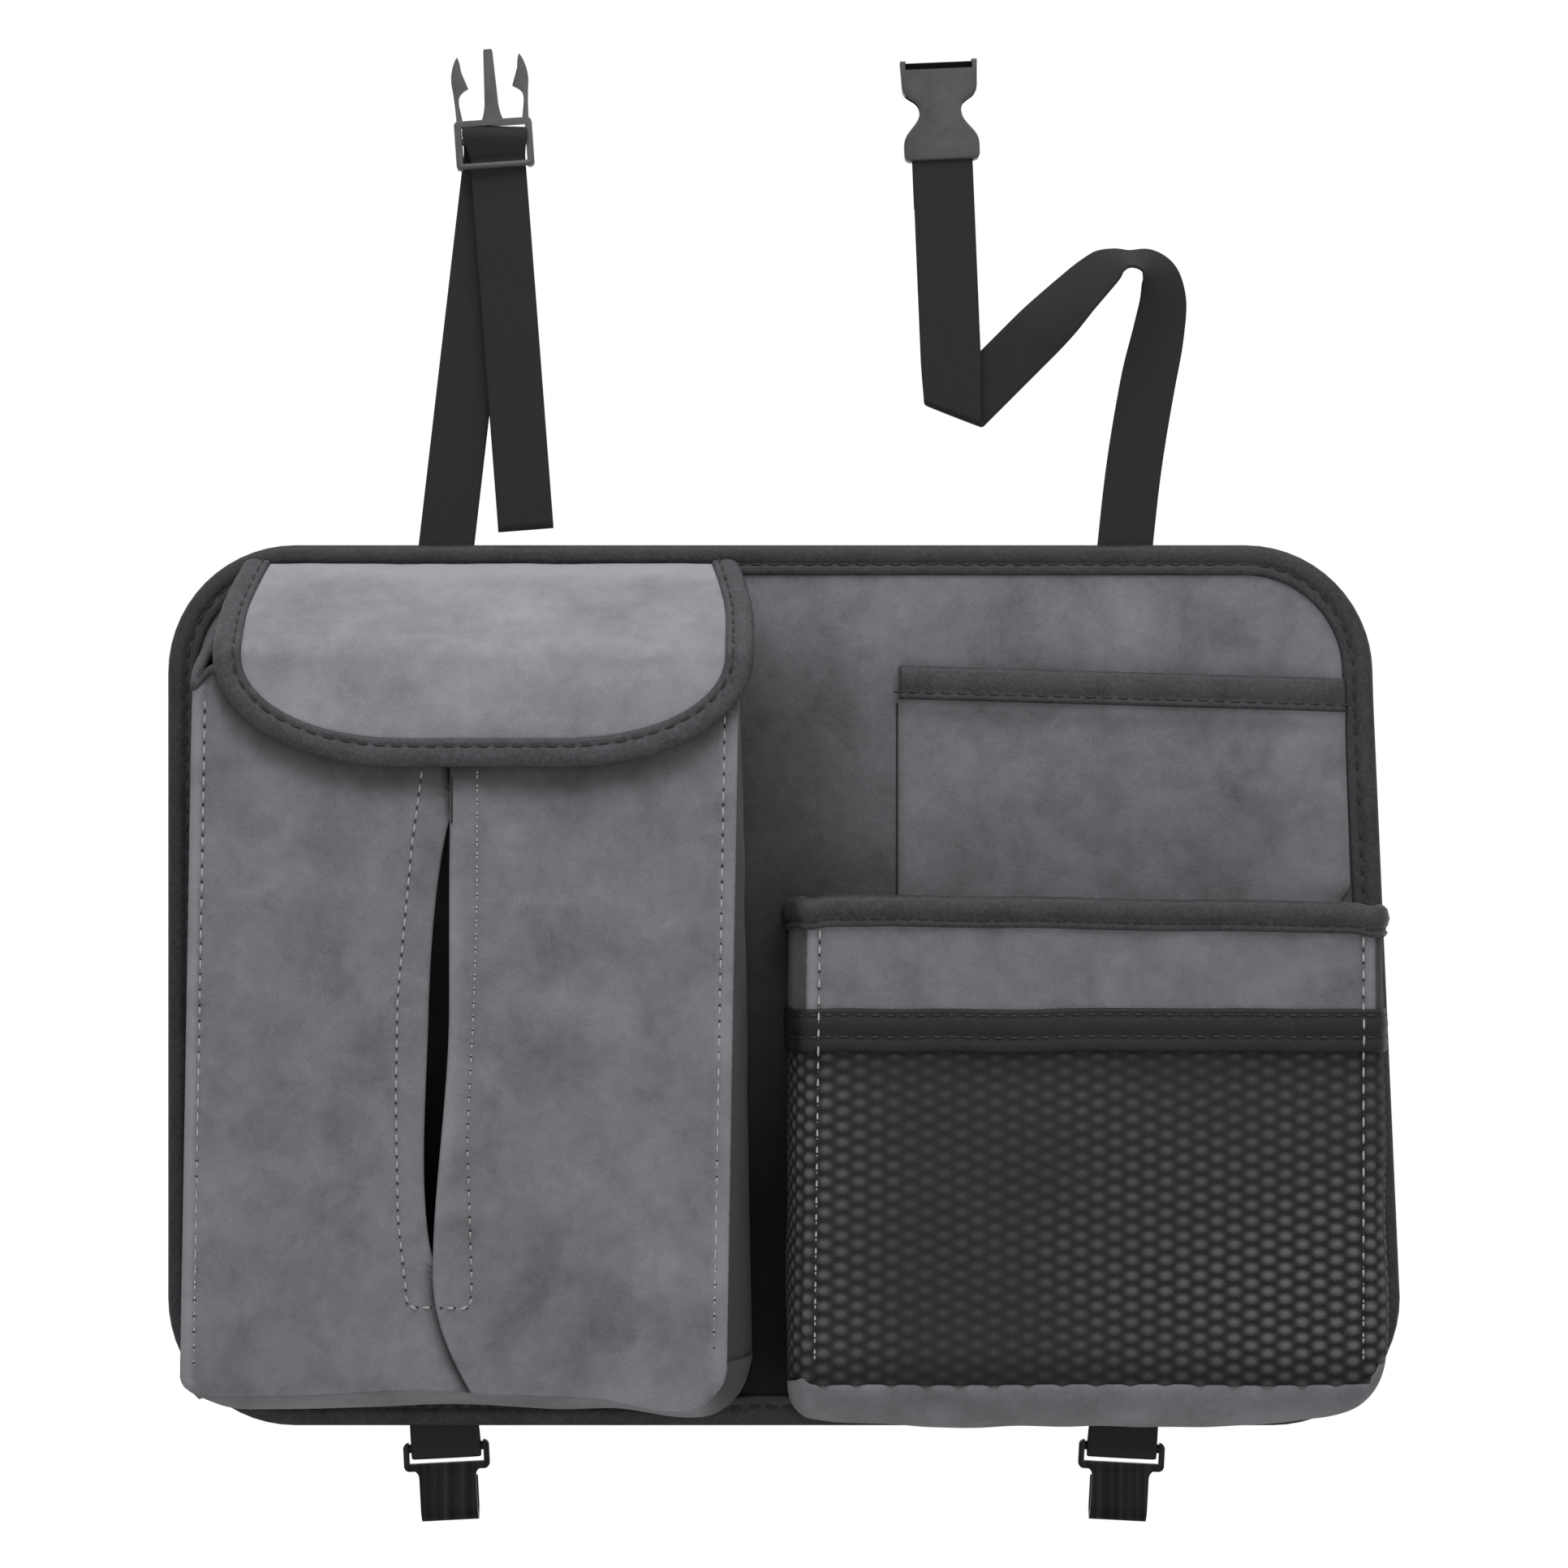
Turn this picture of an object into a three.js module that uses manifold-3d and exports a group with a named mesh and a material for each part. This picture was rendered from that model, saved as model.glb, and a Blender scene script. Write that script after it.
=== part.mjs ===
// A back seat organizer: a stiff bound panel with a gusseted tissue pocket, a netted box pocket and a slip
// pocket, hung by two webbing straps with a side-release buckle and held down by two hooks.
// Millimetres, +Z up, +X to the right. The front faces -Y, and the origin is the middle of the panel's rear face.
import * as THREE from "three";
import { mergeVertices } from "three/addons/utils/BufferGeometryUtils.js";
import Module from "manifold-3d";

const wasm = await Module();
wasm.setup();

// Fits
const clearance = 0.3;
const seamAllowance = 1.2; // from a pocket's seam to the panel's binding
const bindingWall = 1;

// Panel
const panelWidth = 445;
const panelHeight = 318;
const panelLean = 10; // how far the right edge has come in at the top
const panelCornerRadius = 46;
const panelBindingWidth = 11;
const liningThickness = 1;
const boardThickness = 3.2;
const faceThickness = 1.2;

// Suede and net cloth
const suedeThickness = 1.8;
const netThickness = 1.6;

// Tissue pocket
const tissueFromLeft = 110.5; // from the left edge of the panel to the middle of the pocket
const tissueWidth = 191;
const tissueHeight = 258;
const tissueRim = 115;
const tissueDepth = 46;
const tissueLean = 4.5; // how far its foot lies to the left of its rim
const tissueFlare = 5; // how much further right its seam on the panel lies at the foot
const tissueFrontRadius = 8;
const tissueBaseRadius = 14;
const tissueBulge = 3;
const tissueSideBelly = 2;
const tissueBottomBelly = 5;
const tissueRimHeight = 3.6;

// Slit of the tissue pocket, where the right half of the front laps over the left half
const slitTop = 62;
const slitBottom = -96;
const slitGap = 8;
const slitLap = 6;
const slitFromCentre = -5.6;
const slitDrift = 5.2; // how far it wanders to the left on its way down
const slitCurl = 13.5; // how far its foot turns back to the right
const slitCurlHeight = 43;
const lapRamp = 14;

// Flap of the tissue pocket
const flapFromCentre = 6.5;
const flapTopWidth = 179;
const flapWidth = 190;
const flapSeam = 151;
const flapSlope = THREE.MathUtils.degToRad(33);
const flapFoldRadius = 7;
const flapDrop = 37.5;
const flapCornerWidth = 70;
const flapCornerHeight = 39.5;
const flapCornerFullness = 0.9; // under 1 the corners are squarer than an ellipse
const flapFlare = 0.8; // the share of its slope over which the flap widens
const flapThickness = 2.4;
const flapBindingWidth = 10;

// Slip pocket
const slipLeft = 41.3;
const slipTop = 115.3;
const slipTopFall = 4.7;
const slipBottom = -20;
const slipGap = 5;
const slipRamp = 7; // how far below its binding the slip pocket comes back to the panel
const slipBindingHeight = 12;
const slipThickness = 1.2;

// Box pocket
const boxLeft = 9.6;
const boxFromRight = 15.5; // from the right edge of the panel to the right edge of the pocket's front
const boxLean = 2.2; // how far its left edge moves to the left on the way down
const boxBaseLeft = 2;
const boxRim = 34;
const boxRimHeight = 11;
const boxBottom = -139;
const boxDepth = 46;
const boxFrontRadius = 8;
const boxBaseRadius = 14;
const boxBulge = 3;
const boxLeftPuff = 4;
const boxRightPuff = 8;
const boxBottomPuff = 17;
const netTop = -14.5;
const netBindingTop = -6.4;
const netBindingHeight = 15.3;

// Webbing
const webThickness = 1.4;
const rootDepth = 16; // how far each web runs into the edge of the panel
const strapWidth = 20;
const tabWidth = 25;

// Left strap and male buckle
const leftStrapPlace = -122;
const leftStrapLean = THREE.MathUtils.degToRad(6.6);
const leftTailLean = THREE.MathUtils.degToRad(4.7);
const leftBarHeight = 304.9;
const leftTailLength = 137;
const maleTilt = THREE.MathUtils.degToRad(4);
const adjusterRollRadius = 3.3;
const adjusterBarRadius = 1.2;
const maleWidth = 28;
const maleRail = 2.4;
const maleThickness = 4.4;
const prongThickness = 3.2;
const prongHeight = 26.6;

// Right strap and female buckle
const rightStrapPlace = 123.3;
const rightStrapLean = THREE.MathUtils.degToRad(5.3);
const femaleRollRadius = 2.2;
const femaleBarRadius = 1.1;
const femaleWidth = 27.6;
const femaleHeight = 32.6;
const femaleThickness = 8.4;
const mouthWidth = 23.6;
const mouthGap = 4.8;
const mouthDepth = 17;

// Bottom tabs and hooks
const hookSpread = 124.4;
const hookTilt = THREE.MathUtils.degToRad(3);
const hookDrop = 8.3; // from the edge of the panel down to the bar of the hook
const hookBarRadius = 1.6;
const hookHeadWidth = 31;
const hookCheek = 2;
const hookSlotDrop = 5.6;
const hookHeadDrop = 8.2;
const hookPlateWidth = 20.5;
const hookPlateThickness = 2.4;
const hookReach = 27.2;
const hookGap = 7.4;
const hookTip = -13;

// Levels that the rest is laid on
const faceY = -(liningThickness + boardThickness + faceThickness);
const boardFrontY = faceY + faceThickness;
const panelTop = panelHeight / 2;
const panelHalf = panelWidth / 2;
const tissueCentre = -panelHalf + tissueFromLeft;
const slitPlace = tissueCentre + slitFromCentre;
const flapCentre = tissueCentre + flapFromCentre;
const boxRight = panelHalf - boxFromRight;
const tissueFrontY = faceY - tissueDepth;
const boxFrontY = faceY - boxDepth;
const webY = boardFrontY + clearance + webThickness / 2;

const mix = THREE.MathUtils.lerp;
const ease = THREE.MathUtils.smoothstep;
const range = (count) => Array.from({ length: count }, (_, i) => i);
const steps = (count) => range(count + 1).map((i) => i / count);

// Solids

function facingOut(geometry) {
  const p = geometry.attributes.position;
  const index = geometry.index.array;
  const [a, b, c] = [new THREE.Vector3(), new THREE.Vector3(), new THREE.Vector3()];
  let volume = 0;
  for (let i = 0; i < index.length; i += 3) {
    a.fromBufferAttribute(p, index[i]);
    b.fromBufferAttribute(p, index[i + 1]);
    c.fromBufferAttribute(p, index[i + 2]);
    volume += a.dot(b.cross(c));
  }
  if (volume < 0) geometry.setIndex(Array.from(index).reverse());
  return geometry;
}

// Carries a band, whose outer and inner sides have as many corners each, through rows as one closed solid.
// place(row, corner) gives each point.
function sweep(outer, inner, rows, place) {
  const section = [...outer, ...[...inner].reverse()];
  const count = section.length;
  const points = range(rows).flatMap((row) => section.flatMap((corner) => place(row, corner).toArray()));
  const faces = [];
  for (const row of range(rows - 1)) {
    for (const i of range(count)) {
      const [a, b] = [row * count + i, row * count + ((i + 1) % count)];
      faces.push(a, b, b + count, a, b + count, a + count);
    }
  }
  for (const i of range(outer.length - 1)) {
    const quad = [i, i + 1, count - 2 - i, count - 1 - i];
    faces.push(quad[2], quad[1], quad[0], quad[3], quad[2], quad[0]);
    const last = quad.map((corner) => corner + (rows - 1) * count);
    faces.push(last[0], last[1], last[2], last[0], last[2], last[3]);
  }
  const geometry = new THREE.BufferGeometry();
  geometry.setAttribute("position", new THREE.Float32BufferAttribute(points, 3));
  geometry.setIndex(faces);
  return facingOut(geometry);
}

function solidOf(geometry) {
  const bare = geometry.clone();
  bare.deleteAttribute("normal");
  bare.deleteAttribute("uv");
  const merged = mergeVertices(bare, 1e-4);
  const mesh = { numProp: 3, vertProperties: merged.attributes.position.array, triVerts: merged.index.array };
  return new wasm.Manifold(new wasm.Mesh(mesh));
}

function geometryOf(solid) {
  const mesh = solid.getMesh();
  const geometry = new THREE.BufferGeometry();
  geometry.setAttribute("position", new THREE.BufferAttribute(mesh.vertProperties, mesh.numProp));
  geometry.setIndex(Array.from(mesh.triVerts));
  return geometry;
}

const join = (first, ...others) =>
  geometryOf(others.reduce((whole, other) => whole.add(solidOf(other)), solidOf(first)));

const cut = (first, ...tools) =>
  geometryOf(tools.reduce((whole, tool) => whole.subtract(solidOf(tool)), solidOf(first)));

// A shape drawn in X and Z, thick from its front level to its rear level, with rounded edges if asked.
function slab(shape, front, rear, round = 0) {
  const geometry = new THREE.ExtrudeGeometry(shape, {
    depth: rear - front - 2 * round,
    curveSegments: 8,
    bevelEnabled: round > 0,
    bevelThickness: round,
    bevelSize: round,
    bevelOffset: -round,
    bevelSegments: 2,
  });
  return geometry.rotateX(Math.PI / 2).translate(0, rear - round, 0);
}

function block(x0, x1, y0, y1, z0, z1) {
  const box = new THREE.BoxGeometry(x1 - x0, y1 - y0, z1 - z0);
  return box.translate((x0 + x1) / 2, (y0 + y1) / 2, (z0 + z1) / 2);
}

function rodAlongX(radius, length, y, z) {
  return new THREE.CylinderGeometry(radius, radius, length, 20).rotateZ(Math.PI / 2).translate(0, y, z);
}

const materials = {
  suede: { color: 0x74767a, roughness: 0.85, metalness: 0 },
  binding: { color: 0x3c3d3f, roughness: 0.55, metalness: 0 },
  lining: { color: 0x2b2b2c, roughness: 0.9, metalness: 0 },
  board: { color: 0x232323, roughness: 0.8, metalness: 0 },
  webbing: { color: 0x2a2a2a, roughness: 0.8, metalness: 0 },
  net: { color: 0x2e2e30, roughness: 0.8, metalness: 0 },
  buckle: { color: 0x4a4a4b, roughness: 0.4, metalness: 0 },
  hook: { color: 0x141414, roughness: 0.35, metalness: 0 },
};

const organizer = new THREE.Group();

function add(name, geometry, material) {
  const mesh = new THREE.Mesh(geometry, new THREE.MeshStandardMaterial(materials[material]));
  mesh.name = name;
  organizer.add(mesh);
  return mesh;
}

// Panel

const panelRight = (z) => panelHalf - (panelLean * (z + panelTop)) / panelHeight;

// The panel's outline with its rounded corners, drawn a distance inside its edge.
function panelShape(inset) {
  const corners = [
    new THREE.Vector2(-panelHalf + inset, -panelTop + inset),
    new THREE.Vector2(panelRight(-panelTop) - inset, -panelTop + inset),
    new THREE.Vector2(panelRight(panelTop) - inset, panelTop - inset),
    new THREE.Vector2(-panelHalf + inset, panelTop - inset),
  ];
  return roundedShape(corners, panelCornerRadius - inset);
}

// A polygon, given anticlockwise, with each of its corners turned on the same radius.
function roundedShape(corners, radius) {
  const shape = new THREE.Shape();
  for (const i of range(corners.length)) {
    const corner = corners[i];
    const before = corners[(i + corners.length - 1) % corners.length].clone().sub(corner).normalize();
    const after = corners[(i + 1) % corners.length].clone().sub(corner).normalize();
    const halfAngle = Math.acos(before.dot(after)) / 2;
    const centre = before.clone().add(after).normalize().multiplyScalar(radius / Math.sin(halfAngle)).add(corner);
    const start = Math.atan2(-before.x, before.y);
    const sweepAngle = Math.PI - 2 * halfAngle;
    shape.absarc(centre.x, centre.y, radius, start + Math.PI, start + Math.PI + sweepAngle, false);
  }
  return shape;
}

const roundedBar = (width, bottom, top, radius) =>
  roundedShape(
    [
      new THREE.Vector2(-width / 2, bottom),
      new THREE.Vector2(width / 2, bottom),
      new THREE.Vector2(width / 2, top),
      new THREE.Vector2(-width / 2, top),
    ],
    radius,
  );

// Webbing: it is unrolled as (across, along, out of its face) and bent about creases that may lie askew.

// The move that a bend makes of a point that lies past its crease, or null before it.
function bendMove(bend, across, along) {
  const crease = new THREE.Vector3(Math.cos(bend.skew ?? 0), Math.sin(bend.skew ?? 0), 0);
  const onward = new THREE.Vector3(-crease.y, crease.x, 0);
  const past = onward.dot(new THREE.Vector3(across, along - bend.at, 0));
  if (past <= 0) return null;
  const used = Math.min(past, bend.angle * bend.radius);
  const centre = new THREE.Vector3(0, bend.at, bend.radius * bend.side);
  const back = centre.clone().addScaledVector(onward, used).negate();
  const turn = new THREE.Matrix4().makeRotationAxis(crease, (bend.side * used) / bend.radius);
  const there = new THREE.Matrix4().makeTranslation(centre.x, centre.y, centre.z);
  return there.multiply(turn).multiply(new THREE.Matrix4().makeTranslation(back.x, back.y, back.z));
}

// The edge points and the face direction of each row of a web from a starting frame through its bends.
function bentRows(start, width, length, bends) {
  const bendSteps = 10;
  const lines = [[0, 0]];
  for (const bend of bends) {
    const lead = (width / 2) * Math.tan(bend.skew ?? 0);
    const reach = (bend.angle * bend.radius) / Math.cos(bend.skew ?? 0);
    const count = Math.max(3, Math.round((bendSteps * bend.angle) / Math.PI));
    for (const share of steps(count)) {
      const along = bend.at + share * reach;
      lines.push([along - lead, along + lead]);
    }
  }
  lines.push([length, length]);
  const place = (across, along, out) => {
    const whole = start.clone();
    for (const bend of bends) {
      const move = bendMove(bend, across, along);
      if (move) whole.multiply(move);
    }
    return new THREE.Vector3(across, along, out).applyMatrix4(whole);
  };
  return lines.map(([leftAlong, rightAlong]) => {
    const left = place(-width / 2, leftAlong, 0);
    const right = place(width / 2, rightAlong, 0);
    return {
      left,
      right,
      out: place(-width / 2, leftAlong, 1).sub(left),
      outRight: place(width / 2, rightAlong, 1).sub(right),
    };
  });
}

function webSolid(rows, thickness) {
  const half = thickness / 2;
  const sides = [[0, half], [1, half]];
  const backs = [[0, -half], [1, -half]];
  return sweep(sides, backs, rows.length, (row, [end, out]) => {
    const { left, right, out: outLeft, outRight } = rows[row];
    const point = end ? right.clone() : left.clone();
    return point.addScaledVector(end ? outRight : outLeft, out);
  });
}

// A frame at a point, with its along direction turned in the X-Z plane from straight up (or from straight down).
function webFrame(x, y, z, lean, down = false) {
  const angle = down ? Math.PI + lean : lean;
  const along = new THREE.Vector3(Math.sin(angle), 0, Math.cos(angle));
  const across = new THREE.Vector3(Math.cos(angle), 0, -Math.sin(angle));
  const frame = new THREE.Matrix4().makeBasis(across, along, new THREE.Vector3(0, -1, 0));
  return frame.setPosition(x, y, z);
}

// The slot that the root of a web needs in the edge of the panel.
function rootSlot(frame, width) {
  const length = rootDepth + 4;
  const box = new THREE.BoxGeometry(width + 2 * clearance, length, webThickness + 2 * clearance);
  return box.translate(0, length / 2 - clearance, 0).applyMatrix4(frame);
}

// Left strap: up behind the adjuster bar, over it and down again as a loose tail.

const leftRootZ = panelTop - rootDepth;
const leftRootX = leftStrapPlace - rootDepth * Math.tan(leftStrapLean);
const leftFrame = webFrame(leftRootX, webY, leftRootZ, leftStrapLean);
const leftRun = (leftBarHeight - leftRootZ) / Math.cos(leftStrapLean);
const tuck = THREE.MathUtils.degToRad(20); // the tail leans in to pass behind the lower bar
const rollLength = adjusterRollRadius * (Math.PI + tuck);
const tuckRun = 6.2;
const leftBends = [
  { at: leftRun, skew: (leftStrapLean + leftTailLean) / 2, radius: adjusterRollRadius, angle: Math.PI + tuck, side: 1 },
  { at: leftRun + rollLength + tuckRun, radius: 4, angle: tuck, side: -1 },
];
const leftLength = leftRun + rollLength + leftTailLength;
add("left_strap", webSolid(bentRows(leftFrame, strapWidth, leftLength, leftBends), webThickness), "webbing");

// Right strap: it twists over in an arch, folds back on itself and loops round the bar of the female buckle.

const rightRootX = rightStrapPlace - rootDepth * Math.tan(rightStrapLean);
const rightFrame = webFrame(rightRootX, webY, leftRootZ, rightStrapLean);

// The middle of the web along the arch, right of its place and up from the panel, and how many degrees its
// right edge has turned to the rear.
const archShape = [
  [3.3, 29, 0],
  [8.3, 59, 2],
  [12.3, 79, 16],
  [13.8, 91, 27],
  [11.6, 99, 36],
  [7, 103, 52],
  [1.6, 103.4, 68],
  [-4, 101.9, 62],
  [-9.7, 98.6, 46],
  [-16.1, 92.9, 34],
  [-22.3, 85.5, 20],
  [-33.8, 74, 0],
];
const archStations = [
  [rightRootX, leftRootZ, 0],
  [rightStrapPlace, panelTop, 0],
  ...archShape.map(([right, up, turn]) => [rightStrapPlace + right, panelTop + up, turn]),
];
const archForward = 12; // how far the web has come forward after the arch
const diagonalRun = 37.9;
const foldSkew = THREE.MathUtils.degToRad(23.7);
const foldRadius = 1.7;
const uprightRun = 92.5;
const sewnReturn = 20;

function archRows() {
  const last = archStations.length - 1;
  const middle = new THREE.CatmullRomCurve3(
    archStations.map(([x, z], i) => new THREE.Vector3(x, webY - archForward * ease(i, 3, last - 1), z)),
    false,
    "centripetal",
  );
  const turns = new THREE.CatmullRomCurve3(archStations.map(([, , turn], i) => new THREE.Vector3(i, turn, 0)));
  return steps(4 * last).map((share) => {
    const point = middle.getPoint(share);
    const along = middle.getTangent(share).setY(0).normalize();
    const turn = THREE.MathUtils.degToRad(turns.getPoint(share).y);
    const across = new THREE.Vector3(along.z, 0, -along.x).multiplyScalar(Math.cos(turn)).setY(Math.sin(turn));
    const out = across.clone().cross(along);
    const left = point.clone().addScaledVector(across, -strapWidth / 2);
    const right = point.clone().addScaledVector(across, strapWidth / 2);
    return { left, right, out, outRight: out };
  });
}

const arch = archRows();
const archEnd = arch[arch.length - 1];
const diagonalAcross = archEnd.right.clone().sub(archEnd.left).setY(0).normalize();
const diagonalAlong = new THREE.Vector3(-diagonalAcross.z, 0, diagonalAcross.x);
const archEndPoint = archEnd.left.clone().add(archEnd.right).multiplyScalar(0.5);
const diagonalFrame = new THREE.Matrix4()
  .makeBasis(diagonalAcross, diagonalAlong, new THREE.Vector3(0, -1, 0))
  .setPosition(archEndPoint);
const foldLength = (Math.PI * foldRadius) / Math.cos(foldSkew);
const rightLoopAt = diagonalRun + foldLength + uprightRun;
const rightBends = [
  { at: diagonalRun, skew: foldSkew, radius: foldRadius, angle: Math.PI, side: 1 },
  { at: rightLoopAt, radius: femaleRollRadius, angle: Math.PI, side: 1 },
];
const rightLength = rightLoopAt + Math.PI * femaleRollRadius + sewnReturn;
const rightRows = [...arch.slice(0, -1), ...bentRows(diagonalFrame, strapWidth, rightLength, rightBends)];
add("right_strap", webSolid(rightRows, webThickness), "webbing");

// Male buckle: a frame with an adjuster bar and a lower bar, a middle prong and two sprung arms.

function maleArm(side) {
  const arm = new THREE.Shape();
  const base = 7;
  const at = (inset) => side * (maleWidth / 2 - inset);
  arm.moveTo(at(3.2), base);
  arm.bezierCurveTo(at(2.8), base + 4, at(2), base + 6, at(2.3), base + 8.5);
  arm.bezierCurveTo(at(2.6), base + 10.5, at(4.4), base + 11.4, at(6), base + 12.2);
  arm.lineTo(at(3.8), base + 18.5);
  arm.quadraticCurveTo(at(3.6), base + 22, at(2.8), base + 23.6);
  arm.bezierCurveTo(at(1), base + 21.4, at(-0.4), base + 16.5, at(0.3), base + 12.5);
  arm.bezierCurveTo(at(0.7), base + 9, at(1), base + 5, at(1), base - 1);
  arm.lineTo(at(3.2), base - 1);
  return arm;
}

function maleProng() {
  const prong = new THREE.Shape();
  const foot = 6.2;
  const tip = foot + prongHeight;
  prong.moveTo(-4.6, foot);
  prong.lineTo(4.6, foot);
  prong.quadraticCurveTo(2.6, foot + 2.5, 2.3, foot + 9);
  prong.lineTo(1.6, tip - 0.6);
  prong.quadraticCurveTo(1.5, tip, 1, tip);
  prong.lineTo(-1, tip);
  prong.quadraticCurveTo(-1.5, tip, -1.6, tip - 0.6);
  prong.lineTo(-2.3, foot + 9);
  prong.quadraticCurveTo(-2.6, foot + 2.5, -4.6, foot);
  return prong;
}

const lowerBar = -9.2;
const lowerBarForward = -3.3;
const lowerBarRadius = 1.1;

function maleBuckle() {
  const half = maleThickness / 2;
  const cheek = [lowerBarForward, 0, lowerBar - 1, lowerBar + 1];
  const inner = maleWidth / 2 - maleRail;
  const frame = cut(
    slab(roundedBar(maleWidth, lowerBar - 1, 7.4, 1.6), -half, half),
    block(-inner, inner, -maleThickness, maleThickness, lowerBar - 5, 5.3),
  );
  return join(
    frame,
    rodAlongX(adjusterBarRadius, maleWidth - maleRail, 0, 0),
    rodAlongX(lowerBarRadius, maleWidth - maleRail, lowerBarForward, lowerBar),
    block(-maleWidth / 2 + 0.4, -inner - 0.2, ...cheek),
    block(inner + 0.2, maleWidth / 2 - 0.4, ...cheek),
    slab(maleArm(-1), -prongThickness / 2, prongThickness / 2),
    slab(maleArm(1), -prongThickness / 2, prongThickness / 2),
    slab(maleProng(), -prongThickness / 2, prongThickness / 2),
  );
}

const leftBar = new THREE.Vector3(0, leftRun, adjusterRollRadius).applyMatrix4(leftFrame);
const male = add("male_buckle", maleBuckle(), "buckle");
male.rotation.y = -maleTilt;
male.position.copy(leftBar).add(new THREE.Vector3(0.5, 0, 0));

// Female buckle: a waisted shell with a mouth, side windows and a bar for the sewn loop.

function femaleOutline() {
  const half = femaleWidth / 2;
  const outline = new THREE.Shape();
  outline.moveTo(-11.5, -3.2);
  outline.lineTo(11.5, -3.2);
  outline.quadraticCurveTo(half - 0.3, -3, half - 0.3, -0.6);
  outline.lineTo(half - 0.3, 2.6);
  outline.bezierCurveTo(half - 0.3, 7.5, 7.4, 9.5, 7.4, 14.5);
  outline.bezierCurveTo(7.4, 19.5, half - 0.5, 18.5, half - 0.4, 23);
  outline.lineTo(half, femaleHeight);
  outline.lineTo(-half, femaleHeight);
  outline.lineTo(-half + 0.4, 23);
  outline.bezierCurveTo(-half + 0.5, 18.5, -7.4, 19.5, -7.4, 14.5);
  outline.bezierCurveTo(-7.4, 9.5, -half + 0.3, 7.5, -half + 0.3, 2.6);
  outline.lineTo(-half + 0.3, -0.6);
  outline.quadraticCurveTo(-half + 0.3, -3, -11.5, -3.2);
  return outline;
}

function femaleBuckle() {
  const half = femaleThickness / 2;
  const loopRoom = femaleRollRadius + webThickness / 2 + clearance;
  const loopWidth = strapWidth / 2 + 0.8;
  const lipDrop = 3;
  const shell = cut(
    slab(femaleOutline(), -half, half, 0.8),
    block(-mouthWidth / 2, mouthWidth / 2, -mouthGap / 2, mouthGap / 2, femaleHeight - mouthDepth, femaleHeight + 1),
    block(-mouthWidth / 2, mouthWidth / 2, -half - 1, 0, femaleHeight - lipDrop, femaleHeight + 1),
    block(-loopWidth, loopWidth, -loopRoom, loopRoom, -5, loopRoom + 0.6),
  );
  return join(shell, rodAlongX(femaleBarRadius, 2 * loopWidth + 1, 0, 0));
}

const uprightRow = rightRows[rightRows.length - 2];
const loopCentre = uprightRow.left.clone().add(uprightRow.right).multiplyScalar(0.5);
loopCentre.y -= femaleRollRadius;
const uprightAcross = uprightRow.right.clone().sub(uprightRow.left);
const female = add("female_buckle", femaleBuckle(), "buckle");
female.rotation.y = -Math.atan(uprightAcross.z / uprightAcross.x);
female.position.copy(loopCentre);

// Bottom tabs and hooks: each web goes down into the loop of a hook and back up behind itself.

function hookJ() {
  const half = hookPlateThickness / 2;
  const inner = hookGap / 2;
  const outer = inner + hookPlateThickness;
  const centreY = half + inner;
  const centreZ = outer - hookReach;
  const section = new THREE.Shape();
  section.moveTo(-half, -hookHeadDrop + 1);
  section.lineTo(-half, centreZ);
  section.absarc(centreY, centreZ, outer, Math.PI, 2 * Math.PI, false);
  section.lineTo(centreY + outer, hookTip);
  section.absarc(centreY + inner + half, hookTip, half, 0, Math.PI, false);
  section.lineTo(centreY + inner, centreZ);
  section.absarc(centreY, centreZ, inner, 0, Math.PI, true);
  section.lineTo(half, -hookHeadDrop + 1);
  const geometry = new THREE.ExtrudeGeometry(section, { depth: hookPlateWidth, curveSegments: 10, bevelEnabled: false });
  const turned = new THREE.Matrix4().makeBasis(
    new THREE.Vector3(0, 1, 0),
    new THREE.Vector3(0, 0, 1),
    new THREE.Vector3(1, 0, 0),
  );
  return geometry.applyMatrix4(turned).translate(-hookPlateWidth / 2, 0, 0);
}

function hookSolid() {
  const half = hookHeadWidth / 2;
  const slotHalf = half - hookCheek;
  const headThickness = hookBarRadius;
  const shoulder = new THREE.Shape();
  shoulder.moveTo(-half + 2.4, -hookHeadDrop + 0.4);
  shoulder.quadraticCurveTo(-hookPlateWidth / 2, -hookHeadDrop, -hookPlateWidth / 2, -hookHeadDrop - 3);
  shoulder.lineTo(hookPlateWidth / 2, -hookHeadDrop - 3);
  shoulder.quadraticCurveTo(hookPlateWidth / 2, -hookHeadDrop, half - 2.4, -hookHeadDrop + 0.4);
  const head = cut(
    slab(roundedBar(hookHeadWidth, -hookHeadDrop, 2.1, 2), -headThickness, headThickness),
    block(-slotHalf, slotHalf, -3, 3, -hookSlotDrop, 4),
  );
  return join(
    head,
    rodAlongX(hookBarRadius, hookHeadWidth - hookCheek, 0, 0),
    slab(shoulder, -hookPlateThickness / 2, hookPlateThickness / 2),
    hookJ(),
  );
}

const tabRadius = hookBarRadius + clearance + webThickness / 2;
const tabPinch = THREE.MathUtils.degToRad(35); // the return leg leans in to lie against the first
const tabRun = rootDepth + hookDrop;
const tabRoll = tabRadius * (Math.PI + tabPinch);
const tabPinchRun = 4.5;
const tabBackRadius = 2.5;
const tabBends = [
  { at: tabRun, radius: tabRadius, angle: Math.PI + tabPinch, side: -1 },
  { at: tabRun + tabRoll + tabPinchRun, radius: tabBackRadius, angle: tabPinch, side: 1 },
];
const tabLength = tabRun + tabRoll + tabPinchRun + tabBackRadius * tabPinch + 0.3;
const tabFrames = [];

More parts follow.
